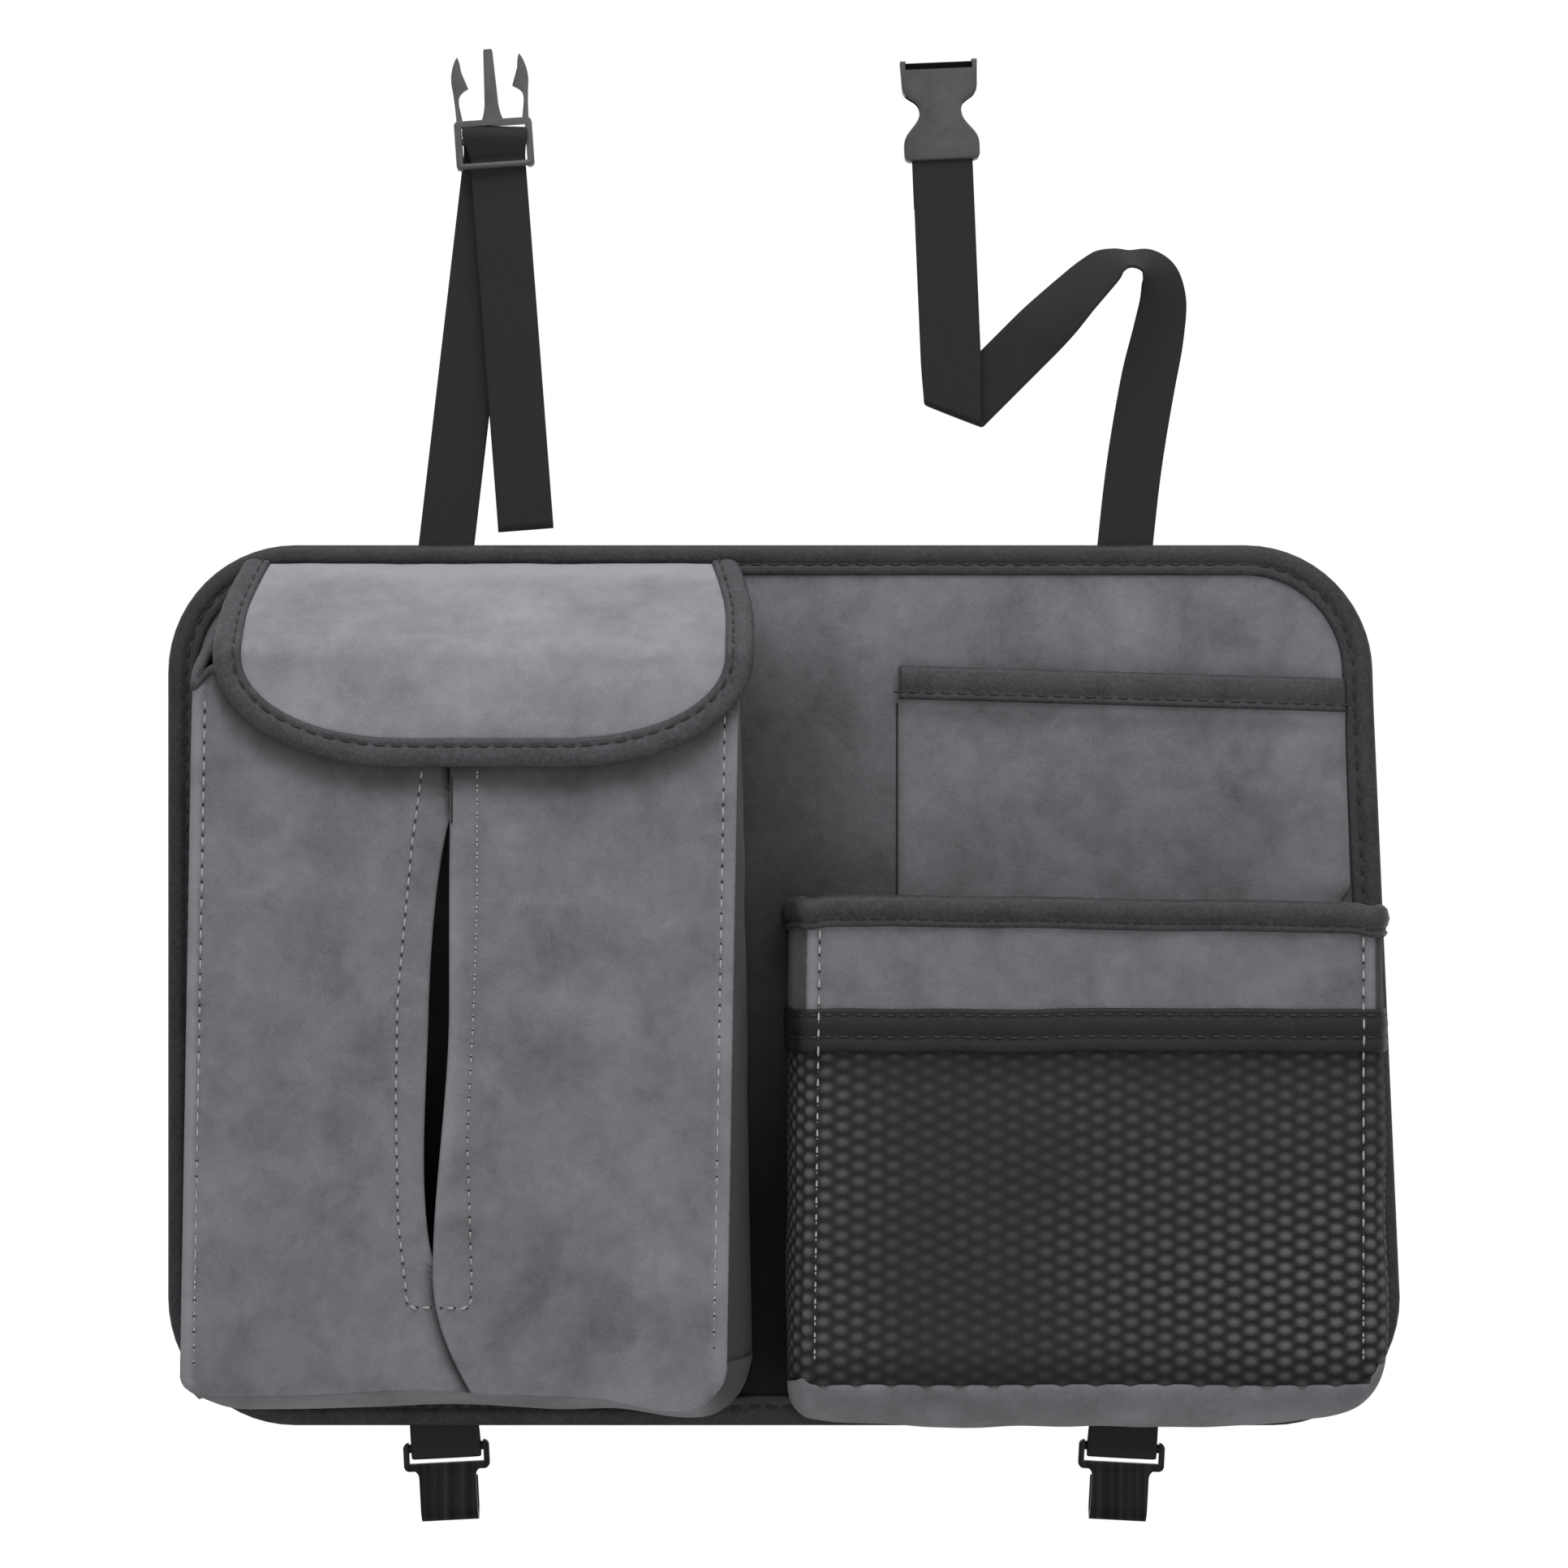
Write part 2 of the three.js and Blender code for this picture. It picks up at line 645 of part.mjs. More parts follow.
for (const [side, name] of [[-1, "left"], [1, "right"]]) {
  const lean = side * hookTilt;
  const rootX = side * hookSpread - rootDepth * Math.tan(lean);
  const frame = webFrame(rootX, webY, rootDepth - panelTop, lean, true);
  tabFrames.push(frame);
  add(`${name}_tab`, webSolid(bentRows(frame, tabWidth, tabLength, tabBends), webThickness), "webbing");
  const hook = add(`${name}_hook`, hookSolid(), "hook");
  hook.rotation.y = lean;
  hook.position.copy(new THREE.Vector3(0, tabRun, -tabRadius).applyMatrix4(frame));
}

// Panel layers, with slots in the board and in the binding for the webs

const slots = [
  rootSlot(leftFrame, strapWidth),
  rootSlot(rightFrame, strapWidth),
  ...tabFrames.map((frame) => rootSlot(frame, tabWidth)),
];
const boardOutline = panelShape(bindingWall + clearance);
add("panel_face", slab(boardOutline, faceY, boardFrontY), "suede");
add("panel_board", cut(slab(boardOutline, boardFrontY, -liningThickness), ...slots), "board");
add("panel_lining", slab(panelShape(panelBindingWidth + clearance), -liningThickness, 0), "lining");
add(
  "panel_binding",
  cut(
    slab(panelShape(0), faceY - bindingWall, 0, bindingWall),
    slab(panelShape(panelBindingWidth), faceY - 2, 2),
    slab(panelShape(bindingWall), faceY, -liningThickness),
    ...slots,
  ),
  "binding",
);

// Pockets: a wall's belly is a curve from its seam on the panel to the plane of the front.

// The Y and the outward swell of a pocket wall, a share of the way from the panel to the front plane.
function wallCurve(share, frontY, puff) {
  const depth = frontY - faceY;
  const [a, b, c, d] = [(1 - share) ** 3, 3 * share * (1 - share) ** 2, 3 * share ** 2 * (1 - share), share ** 3];
  return {
    y: a * faceY + b * (faceY + 0.3 * depth) + (c + d) * frontY,
    swell: (b + c) * puff,
  };
}

// The direction out of that curve, as Y and outward parts.
function wallNormal(share, frontY, puff) {
  const step = 1e-3;
  const before = wallCurve(Math.max(share - step, 0), frontY, puff);
  const after = wallCurve(Math.min(share + step, 1), frontY, puff);
  const length = Math.hypot(after.y - before.y, after.swell - before.swell);
  return { y: (after.swell - before.swell) / length, out: (before.y - after.y) / length };
}

// The lower part of an outline: down the left corner, along the bottom and up the right corner.
// Each point has its X and Z and the direction out of the outline.
function lowerOutline(left, right, bottom, leftRadius, rightRadius) {
  const points = [];
  const corner = (x, z, radius, from) => {
    for (const share of steps(6)) {
      const angle = from + (share * Math.PI) / 2;
      const out = new THREE.Vector2(Math.cos(angle), Math.sin(angle));
      points.push({ x: x + radius * out.x, z: z + radius * out.y, out });
    }
  };
  corner(left + leftRadius, bottom + leftRadius, leftRadius, Math.PI);
  for (const share of steps(8).slice(1, -1)) {
    const x = mix(left + leftRadius, right - rightRadius, share);
    points.push({ x, z: bottom, out: new THREE.Vector2(0, -1) });
  }
  corner(right - rightRadius, bottom + rightRadius, rightRadius, -Math.PI / 2);
  return points;
}

// Seam line of the pockets beside the panel's binding
const seamLeft = -panelHalf + panelBindingWidth + seamAllowance;
const seamRight = (z) => panelRight(z) - panelBindingWidth - seamAllowance;
const seamBottom = -panelTop + panelBindingWidth + seamAllowance;
const seamCorner = panelCornerRadius - panelBindingWidth - seamAllowance;

// Tissue pocket

const tissueBottom = tissueRim - tissueHeight;
const tissueShare = (z) => (tissueRim - z) / tissueHeight;
const tissueEdge = (side, z) => tissueCentre + (side * tissueWidth) / 2 - tissueLean * tissueShare(z);
const tissueSeam = (side, z) =>
  side < 0 ? seamLeft : tissueEdge(1, tissueRim) + clearance + tissueFlare * tissueShare(z);
const tissueBackY = tissueFrontY + suedeThickness;
const tissueInRim = tissueRim - bindingWall - clearance;

function tissueGusset(side) {
  const seamCornerRadius = side < 0 ? seamCorner : tissueBaseRadius;
  const lowAtSeam = seamBottom + seamCornerRadius + clearance;
  const lowAtFront = tissueBottom + tissueFrontRadius + clearance;
  const levels = steps(8);
  return sweep(
    levels.map((level) => [level, 0]),
    levels.map((level) => [level, suedeThickness]),
    7,
    (row, [level, inward]) => {
      const share = row / 6;
      const z = mix(tissueInRim, mix(lowAtSeam, lowAtFront, share), level);
      const belly = tissueSideBelly * Math.sin(Math.PI * share) * ease(level, 0.04, 0.25);
      const x = mix(tissueSeam(side, z), tissueEdge(side, z), share) + side * (belly - inward);
      return new THREE.Vector3(x, mix(faceY, tissueBackY + clearance, share), z);
    },
  );
}

function tissueBase() {
  const corner = tissueBottom + tissueFrontRadius;
  const seam = lowerOutline(seamLeft, tissueSeam(1, corner), seamBottom, seamCorner, tissueBaseRadius);
  const front = lowerOutline(
    tissueEdge(-1, corner),
    tissueEdge(1, corner),
    tissueBottom,
    tissueFrontRadius,
    tissueFrontRadius,
  );
  const shares = steps(6);
  return sweep(
    shares.map((share) => [share, 0]),
    shares.map((share) => [share, suedeThickness]),
    seam.length,
    (row, [share, inward]) => {
      const out = seam[row].out;
      const downward = Math.max(0, -out.y);
      const belly = mix(tissueSideBelly, tissueBottomBelly, downward) * Math.sin(Math.PI * share) - inward;
      const x = mix(seam[row].x, front[row].x, share) + out.x * belly;
      const z = mix(seam[row].z, front[row].z, share) + out.y * belly;
      return new THREE.Vector3(x, mix(faceY, tissueBackY + clearance, share), z);
    },
  );
}

// The edge of the right half along the slit, and the gap that the slit leaves to the left half.
function slitEdge(z) {
  const drift = slitDrift * ease(30 - z, 0, 128);
  const curl = Math.max(0, (tissueBottom + slitCurlHeight - z) / slitCurlHeight);
  return slitPlace - drift + slitCurl * curl ** 2;
}

function slitOpening(z) {
  const share = (slitTop - z) / (slitTop - slitBottom);
  const beyond = Math.max(z - slitTop, slitBottom - z);
  if (beyond > 0) return -Math.min(slitLap, beyond);
  return slitGap * Math.sin(Math.PI * share) ** 0.8;
}

function tissueSpan(z) {
  const low = Math.max(0, tissueBottom + tissueFrontRadius - z);
  const inset = tissueFrontRadius - Math.sqrt(tissueFrontRadius ** 2 - Math.min(low, tissueFrontRadius) ** 2);
  return [tissueEdge(-1, z) + inset, tissueEdge(1, z) - inset];
}

// Where the right half laps forward over the left half; under the rim both lie edge to edge.
const lapTop = 84;
const lapStart = 75;
const lapFull = 68;
const lapForward = (z) => 1 - ease(z, lapStart, lapTop);
const lapShare = (z) => 1 - ease(z, lapFull - 2, lapStart - 2);

function tissueLevels() {
  const corner = steps(5).map((share) => tissueBottom + tissueFrontRadius * (1 - Math.sin((share * Math.PI) / 2)));
  const slit = steps(12).map((share) => mix(slitTop, slitBottom, share));
  const cornerTop = tissueBottom + tissueFrontRadius;
  return [
    tissueInRim,
    tissueRim - tissueRimHeight,
    mix(tissueRim - tissueRimHeight, lapTop, 0.5),
    lapTop,
    mix(lapStart, lapTop, 0.5),
    lapStart,
    lapStart - 2,
    lapFull + 1.5,
    lapFull - 2,
    ...slit,
    slitBottom - 3,
    slitBottom - slitLap,
    mix(slitBottom - slitLap, cornerTop, 0.33),
    mix(slitBottom - slitLap, cornerTop, 0.66),
    ...corner,
  ];
}

// The front's swell at a point of the front, growing from nothing at its edges.
function tissueSwell(x, z) {
  const across = (x - tissueEdge(-1, z)) / tissueWidth;
  const inside = Math.sin(Math.PI * THREE.MathUtils.clamp(across, 0, 1));
  return tissueBulge * inside * Math.sin(Math.PI * tissueShare(z)) ** 2;
}

function tissueFront(side) {
  const shares = side < 0 ? steps(6) : [0, 0.04, 0.08, 0.12, 0.17, 0.4, 0.7, 1];
  const levels = tissueLevels();
  return sweep(
    shares.map((share) => [share, 0]),
    shares.map((share) => [share, suedeThickness]),
    levels.length,
    (row, [share, back]) => {
      const z = levels[row];
      const [spanLeft, spanRight] = tissueSpan(z);
      const edge = slitEdge(z);
      const lapped = edge - mix(clearance, slitOpening(z), lapShare(z));
      const x = side < 0 ? mix(spanLeft, lapped, share) : mix(edge, spanRight, share);
      const ramp = side < 0 ? 0 : 1 - ease(x - edge, slitLap, lapRamp);
      const forward = (suedeThickness + clearance) * ramp * lapForward(z);
      return new THREE.Vector3(x, tissueFrontY - tissueSwell(x, z) - forward + back, z);
    },
  );
}

add("tissue_front_left", tissueFront(-1), "suede");
add("tissue_front_right", tissueFront(1), "suede");
add("tissue_gusset_left", tissueGusset(-1), "suede");
add("tissue_gusset_right", tissueGusset(1), "suede");
add("tissue_base", tissueBase(), "suede");

// The corners of a U-shaped binding round the top edge of a sheet, as the distance out of the sheet's outer
// face and the height below its top: outer side, then groove side.
function rimSection(height, thickness) {
  const near = clearance;
  const far = -thickness - clearance;
  const outer = [
    [near + bindingWall, -height],
    [near + bindingWall, 0],
    [far - bindingWall, 0],
    [far - bindingWall, -height],
  ];
  const inner = [
    [near, -height],
    [near, -bindingWall],
    [far, -bindingWall],
    [far, -height],
  ];
  return [outer, inner];
}

// The rim binding of the tissue pocket follows the left gusset, the front and the right gusset.
function tissueRimBinding() {
  const sideRows = 3;
  const frontRows = 8;
  const path = [];
  const endY = faceY - bindingWall - clearance;
  for (const side of [-1, 1]) {
    const legs = steps(sideRows).slice(0, -1).map((share) => (z, out) => {
      const x = mix(tissueSeam(side, z), tissueEdge(side, z), share) + side * out;
      return new THREE.Vector3(x, mix(endY, tissueFrontY, share), z);
    });
    path.push(side < 0 ? legs : legs.reverse());
  }
  const front = steps(frontRows).map((share) => (z, out) => {
    const left = tissueEdge(-1, z) - out;
    const right = tissueEdge(1, z) + out;
    return new THREE.Vector3(mix(left, right, share), tissueFrontY - out, z);
  });
  const rows = [...path[0], ...front, ...path[1]];
  const [outer, inner] = rimSection(tissueRimHeight, suedeThickness);
  return sweep(outer, inner, rows.length, (row, [out, drop]) => rows[row](tissueRim + drop, out));
}

add("tissue_rim_binding", tissueRimBinding(), "binding");

// Flap: a D-shaped leaf that slopes forward from its seam, turns over the rim and hangs down the front.

const flapThick = flapThickness + 2 * (clearance + bindingWall);
const flapStartY = faceY - bindingWall - clearance - (flapThick / 2) * Math.sin(flapSlope);
const flapHangY = tissueFrontY - clearance - bindingWall - clearance - flapThick / 2 - 0.4;
const flapTurn = Math.PI / 2 - flapSlope;
const flapSlopeRun =
  (flapStartY - flapHangY - flapFoldRadius * (1 - Math.sin(flapSlope))) / Math.cos(flapSlope);
const flapFoldRun = flapFoldRadius * flapTurn;
const flapLength = flapSlopeRun + flapFoldRun + flapDrop;

// The middle of the flap's thickness at a distance along it, and the direction out of its outer face.
function flapPath(along) {
  const onSlope = Math.min(along, flapSlopeRun);
  const onFold = THREE.MathUtils.clamp(along - flapSlopeRun, 0, flapFoldRun);
  const onDrop = Math.max(0, along - flapSlopeRun - flapFoldRun);
  const angle = flapSlope + onFold / flapFoldRadius;
  const foldForward = flapFoldRadius * (Math.sin(angle) - Math.sin(flapSlope));
  const foldDown = flapFoldRadius * (Math.cos(flapSlope) - Math.cos(angle));
  return {
    y: flapStartY - onSlope * Math.cos(flapSlope) - foldForward,
    z: flapSeam - onSlope * Math.sin(flapSlope) - foldDown - onDrop,
    outY: -Math.sin(angle),
    outZ: Math.cos(angle),
  };
}

function flapPoint(x, along, out) {
  const { y, z, outY, outZ } = flapPath(along);
  return new THREE.Vector3(x, y + outY * out, z + outZ * out);
}

// The rows of the flap's outline from the seam to the middle of its foot, a distance inside its edge:
// half its width and the distance along it.
function flapRows(inset) {
  const cornerStart = flapLength - flapCornerHeight;
  const straight = [0, 0.1, 0.22, 0.36, 0.52, 0.8, 1].map((share) => {
    const along = share * cornerStart;
    const flare = Math.sin((Math.PI / 2) * Math.min(1, along / (flapFlare * flapSlopeRun)));
    const half = mix(flapTopWidth, flapWidth, flare) / 2;
    return { half: half - inset, along };
  });
  const round = steps(10).slice(1).map((share) => {
    const angle = (share * Math.PI) / 2;
    return {
      half: flapWidth / 2 - flapCornerWidth + (flapCornerWidth - inset) * Math.cos(angle) ** flapCornerFullness,
      along: cornerStart + (flapCornerHeight - inset) * Math.sin(angle),
    };
  });
  return [...straight, ...round];
}

function flapLeaf() {
  const rows = flapRows(bindingWall + clearance);
  const shares = steps(6);
  return sweep(
    shares.map((share) => [share, flapThickness / 2]),
    shares.map((share) => [share, -flapThickness / 2]),
    rows.length,
    (row, [share, out]) => {
      const { half, along } = rows[row];
      return flapPoint(flapCentre + mix(-half, half, share), along, out);
    },
  );
}

function flapBinding() {
  const face = flapThickness / 2 + clearance;
  const outer = [
    [flapBindingWidth, face + bindingWall],
    [0, face + bindingWall],
    [0, -face - bindingWall],
    [flapBindingWidth, -face - bindingWall],
  ];
  const inner = [
    [flapBindingWidth, face],
    [bindingWall, face],
    [bindingWall, -face],
    [flapBindingWidth, -face],
  ];
  const count = flapRows(0).length;
  const place = (row, [inset, out]) => {
    const side = row < count ? -1 : 1;
    const { half, along } = flapRows(inset)[side < 0 ? row : 2 * count - 1 - row];
    return flapPoint(flapCentre + side * half, along, out);
  };
  return sweep(outer, inner, 2 * count, place);
}

add("tissue_flap", flapLeaf(), "suede");
add("tissue_flap_binding", flapBinding(), "binding");

// Slip pocket

// A point of the slip pocket: a share across it, a height and a distance in front of its rear face.
const slipRight = (z) =>
  seamRight(z) - ease(-z, -boxRim - 14, -boxRim - 4) * (suedeThickness + bindingWall + 3 * clearance);

function slipPoint(share, z, forward) {
  const right = slipRight(z);
  const top = slipTop - slipTopFall * share;
  const below = THREE.MathUtils.clamp((top - z) / (top - slipBottom), 0, 1);
  const swell = slipGap * (1 - Math.abs(2 * share - 1) ** 6) * (1 - below ** 4);
  const standOff =
    (bindingWall + 2 * clearance) * (1 - ease(top - z, slipBindingHeight + 1, slipBindingHeight + slipRamp));
  return new THREE.Vector3(mix(slipLeft, right, share), faceY - standOff - swell - forward, z);
}

function slipPocket() {
  const shares = steps(12);
  const drop = (share) => mix(slipBindingHeight + slipRamp, slipTop - slipBottom, share);
  const levels = [
    bindingWall + clearance,
    slipBindingHeight + 1,
    ...[0.25, 0.5, 0.75].map((share) => slipBindingHeight + 1 + share * (slipRamp - 1)),
    ...[0, 0.2, 0.4, 0.6, 0.8, 1].map(drop),
  ];
  return sweep(
    shares.map((share) => [share, slipThickness]),
    shares.map((share) => [share, 0]),
    levels.length,
    (row, [share, forward]) => {
      const top = slipTop - slipTopFall * share;
      const reach = (top - slipBottom) / (slipTop - slipBottom);
      return slipPoint(share, top - levels[row] * (row > 4 ? reach : 1), forward);
    },
  );
}

function slipBinding() {
  const [outer, inner] = rimSection(slipBindingHeight, slipThickness);
  const shares = steps(12);
  return sweep(outer, inner, shares.length, (row, [out, drop]) => {
    const share = shares[row];
    return slipPoint(share, slipTop - slipTopFall * share + drop, slipThickness + out);
  });
}

add("slip_pocket", slipPocket(), "suede");
add("slip_pocket_binding", slipBinding(), "binding");

// Box pocket: its walls run from the panel at the left across the front to the panel at the right.

const boxHeight = boxRim - boxBottom;
const boxShare = (z) => (boxRim - z) / boxHeight;
const boxEdge = (side, z) => (side < 0 ? boxLeft - boxLean * boxShare(z) : boxRight);
const boxPuff = (side) => (side < 0 ? boxLeftPuff : boxRightPuff);
const boxSeam = (side, z) => (side < 0 ? boxBaseLeft : seamRight(z));

// The rows of the walls' path: the side it belongs to and how far along that side or the front it is.
const sideShares = [0, 0.15, 0.35, 0.55, 0.75, 0.9, 1];
const boxPath = [
  ...sideShares.map((share) => ({ side: -1, share })),
  ...[0.012, 0.025, 0.04, 0.1, 0.25, 0.42, 0.58, 0.75, 0.9, 0.96, 0.975, 0.988].map((share) => ({ side: 0, share })),
  ...[...sideShares].reverse().map((share) => ({ side: 1, share })),
];
const clearOfPanelBinding = 0.05; // the share of a side where a binding starts, past the panel's own binding

// The outer face of the box pocket's wall in plan, at a height.
function boxPlan(side, share, z) {
  if (side === 0) {
    const swell = boxBulge * Math.sin(Math.PI * share) * Math.sin(Math.PI * boxShare(z)) ** 2;
    return new THREE.Vector2(mix(boxEdge(-1, z), boxEdge(1, z), share), boxFrontY - swell);
  }
  const curve = wallCurve(share, boxFrontY, boxPuff(side));
  return new THREE.Vector2(mix(boxSeam(side, z), boxEdge(side, z), share) + side * curve.swell, curve.y);
}

// A point of the box pocket's wall: a distance out of its outer face, at a height.
function boxWall(row, out, z, start = 0) {
  const { side, share: rowShare } = boxPath[row];
  const share = side === 0 ? rowShare : Math.max(start, rowShare);
  const point = boxPlan(side, share, z);
  const step = 1e-3;
  const along = boxPlan(side, Math.min(1, share + step), z).sub(boxPlan(side, Math.max(0, share - step), z));
  along.normalize();
  const turned = side > 0 ? new THREE.Vector2(-along.y, along.x) : new THREE.Vector2(along.y, -along.x);
  const normal = share === 0 ? new THREE.Vector2(side, 0) : turned;
  return new THREE.Vector3(point.x + normal.x * out, point.y + normal.y * out, z);
}

// The height of the walls' lower edge, which the base of the pocket is sewn to.
function boxLowEdge(row) {
  const { side, share } = boxPath[row];
  const cornerTop = boxBottom + boxFrontRadius;
  if (side !== 0) {
    const seamTop = seamBottom + (side < 0 ? boxBaseRadius : seamCorner);
    return mix(seamTop, cornerTop, share) + 2 * clearance;
  }
  const x = mix(boxEdge(-1, boxBottom), boxEdge(1, boxBottom), share);
  const inset = Math.min(x - boxEdge(-1, boxBottom), boxEdge(1, boxBottom) - x, boxFrontRadius);
  const drop = Math.sqrt(boxFrontRadius ** 2 - (boxFrontRadius - inset) ** 2);
  return cornerTop - drop + 2 * clearance;
}

function boxBand() {
  const levels = steps(3);
  const top = boxRim - bindingWall - clearance;
  return sweep(
    levels.map((level) => [level, 0]),
    levels.map((level) => [level, -suedeThickness]),
    boxPath.length,
    (row, [level, out]) => boxWall(row, out, mix(top, netTop + clearance, level)),
  );
}

function boxNet() {
  const levels = steps(8);
  return sweep(
    levels.map((level) => [level, 0]),
    levels.map((level) => [level, -netThickness]),
    boxPath.length,
    (row, [level, out]) => boxWall(row, out, mix(netTop, boxLowEdge(row), level)),
  );
}

function boxNetBinding() {
  const levels = steps(2);
  const rows = boxPath.length;
  return sweep(
    levels.map((level) => [level, clearance + bindingWall]),
    levels.map((level) => [level, clearance]),
    rows,
    (row, [level, out]) => boxWall(row, out, netBindingTop - level * netBindingHeight, clearOfPanelBinding),
  );
}

function boxRimBinding() {
  const [outer, inner] = rimSection(boxRimHeight, suedeThickness);
  return sweep(outer, inner, boxPath.length, (row, [out, drop]) =>
    boxWall(row, out, boxRim + drop, clearOfPanelBinding),
  );
}

function boxBase() {
  const corner = boxBottom + boxFrontRadius;
  const seam = lowerOutline(boxBaseLeft, seamRight(seamBottom + seamCorner), seamBottom, boxBaseRadius, seamCorner);
  const front = lowerOutline(boxEdge(-1, corner), boxEdge(1, corner), boxBottom, boxFrontRadius, boxFrontRadius);
  const shares = steps(10);
  return sweep(
    shares.map((share) => [share, 0]),
    shares.map((share) => [share, suedeThickness]),
    seam.length,
    (row, [share, inward]) => {
      const out = seam[row].out;
      const puff = mix(boxPuff(out.x), boxBottomPuff, Math.max(0, -out.y));
      const curve = wallCurve(share, boxFrontY, puff);
      const normal = share === 0 ? { y: 0, out: 1 } : wallNormal(share, boxFrontY, puff);
      const outward = curve.swell - normal.out * inward;
      const x = mix(seam[row].x, front[row].x, share) + out.x * outward;
      const z = mix(seam[row].z, front[row].z, share) + out.y * outward;
      return new THREE.Vector3(x, curve.y - normal.y * inward, z);
    },
  );
}

add("box_band", boxBand(), "suede");
add("box_net", boxNet(), "net");
add("box_net_binding", boxNetBinding(), "binding");
add("box_rim_binding", boxRimBinding(), "binding");
add("box_base", boxBase(), "suede");

export default organizer;
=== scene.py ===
"""A back seat organizer in grey suede cloth with dark bound edges, webbing straps, a side-release buckle and
two hooks. It hangs upright with its front towards -Y. Lengths are worked out in millimetres and made in
metres."""
import math

import bmesh
import bpy
import numpy as np
from mathutils import Matrix, Vector, noise


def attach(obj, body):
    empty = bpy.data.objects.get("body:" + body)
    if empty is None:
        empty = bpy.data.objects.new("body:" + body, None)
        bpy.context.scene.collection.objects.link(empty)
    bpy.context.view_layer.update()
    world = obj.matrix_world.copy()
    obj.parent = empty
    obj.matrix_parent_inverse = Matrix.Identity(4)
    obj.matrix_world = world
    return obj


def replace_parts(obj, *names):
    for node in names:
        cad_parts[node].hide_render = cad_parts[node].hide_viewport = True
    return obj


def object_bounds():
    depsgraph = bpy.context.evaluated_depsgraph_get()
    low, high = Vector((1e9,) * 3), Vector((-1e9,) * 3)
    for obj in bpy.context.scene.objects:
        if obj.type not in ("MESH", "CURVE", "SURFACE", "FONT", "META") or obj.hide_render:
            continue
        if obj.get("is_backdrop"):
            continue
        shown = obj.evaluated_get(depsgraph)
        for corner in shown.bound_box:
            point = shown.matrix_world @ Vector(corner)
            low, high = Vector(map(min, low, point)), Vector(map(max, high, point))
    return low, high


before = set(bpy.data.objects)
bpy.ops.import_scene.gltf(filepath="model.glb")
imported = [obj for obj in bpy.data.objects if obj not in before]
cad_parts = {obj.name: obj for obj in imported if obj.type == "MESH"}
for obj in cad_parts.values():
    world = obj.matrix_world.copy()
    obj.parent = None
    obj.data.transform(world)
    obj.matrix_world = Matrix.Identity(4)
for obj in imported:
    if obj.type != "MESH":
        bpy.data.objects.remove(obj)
cad_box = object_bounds()
scene = bpy.context.scene
scene.view_settings.view_transform = "Standard"

# Studio: the camera looks squarely at the front from 1.8 m. One wide soft light hangs above and a little in
# front of the organizer, a weak one fills from the camera's side, and the pale floor lies below the hooks.
FILM_WIDTH, VIEW_DISTANCE, VIEW_WIDTH, FLOOR_LEVEL = 36, 1.8, 0.5661, -0.24
camera = bpy.data.objects.new("camera", bpy.data.cameras.new("camera"))
camera.location = (0, -1.8054, 0.0727)
camera.rotation_euler = (math.radians(90), 0, 0)
camera.data.sensor_width = FILM_WIDTH
camera.data.lens = FILM_WIDTH * VIEW_DISTANCE / VIEW_WIDTH
camera.data.clip_end = 30
scene.collection.objects.link(camera)
scene.camera = camera


def soft_light(name, place, aim, size, power):
    lamp = bpy.data.lights.new(name, "AREA")
    lamp.shape = "RECTANGLE"
    lamp.size, lamp.size_y = size
    lamp.energy = power
    carrier = bpy.data.objects.new(name, lamp)
    carrier.location = place
    carrier.rotation_euler = (Vector(aim) - Vector(place)).to_track_quat("-Z", "Y").to_euler()
    scene.collection.objects.link(carrier)


soft_light("top_light", (0, -0.75, 1.6), (0, 0, 0.05), (2.0, 0.9), 22)
soft_light("fill_light", (0.3, -2.2, 0.3), (0, 0, 0.05), (1.6, 1.6), 7)

world = bpy.data.worlds.new("studio")
world.use_nodes = True
scene.world = world
world_nodes = world.node_tree.nodes
world_links = world.node_tree.links
world_nodes.clear()
lighting = world_nodes.new("ShaderNodeBackground")
lighting.inputs["Color"].default_value = (1, 1, 1, 1)
lighting.inputs["Strength"].default_value = 0.22
backdrop = world_nodes.new("ShaderNodeBackground")
backdrop.inputs["Color"].default_value = (1, 1, 1, 1)
backdrop.inputs["Strength"].default_value = 1
rays = world_nodes.new("ShaderNodeLightPath")
seen = world_nodes.new("ShaderNodeMath")
seen.operation = "MAXIMUM"
seen_through = world_nodes.new("ShaderNodeMath")
seen_through.operation = "MAXIMUM"
world_mix = world_nodes.new("ShaderNodeMixShader")
world_out = world_nodes.new("ShaderNodeOutputWorld")
world_links.new(rays.outputs["Is Camera Ray"], seen.inputs[0])
world_links.new(rays.outputs["Is Glossy Ray"], seen.inputs[1])
world_links.new(seen.outputs[0], seen_through.inputs[0])
world_links.new(rays.outputs["Is Transmission Ray"], seen_through.inputs[1])
world_links.new(seen_through.outputs[0], world_mix.inputs[0])
world_links.new(lighting.outputs[0], world_mix.inputs[1])
world_links.new(backdrop.outputs[0], world_mix.inputs[2])
world_links.new(world_mix.outputs[0], world_out.inputs["Surface"])

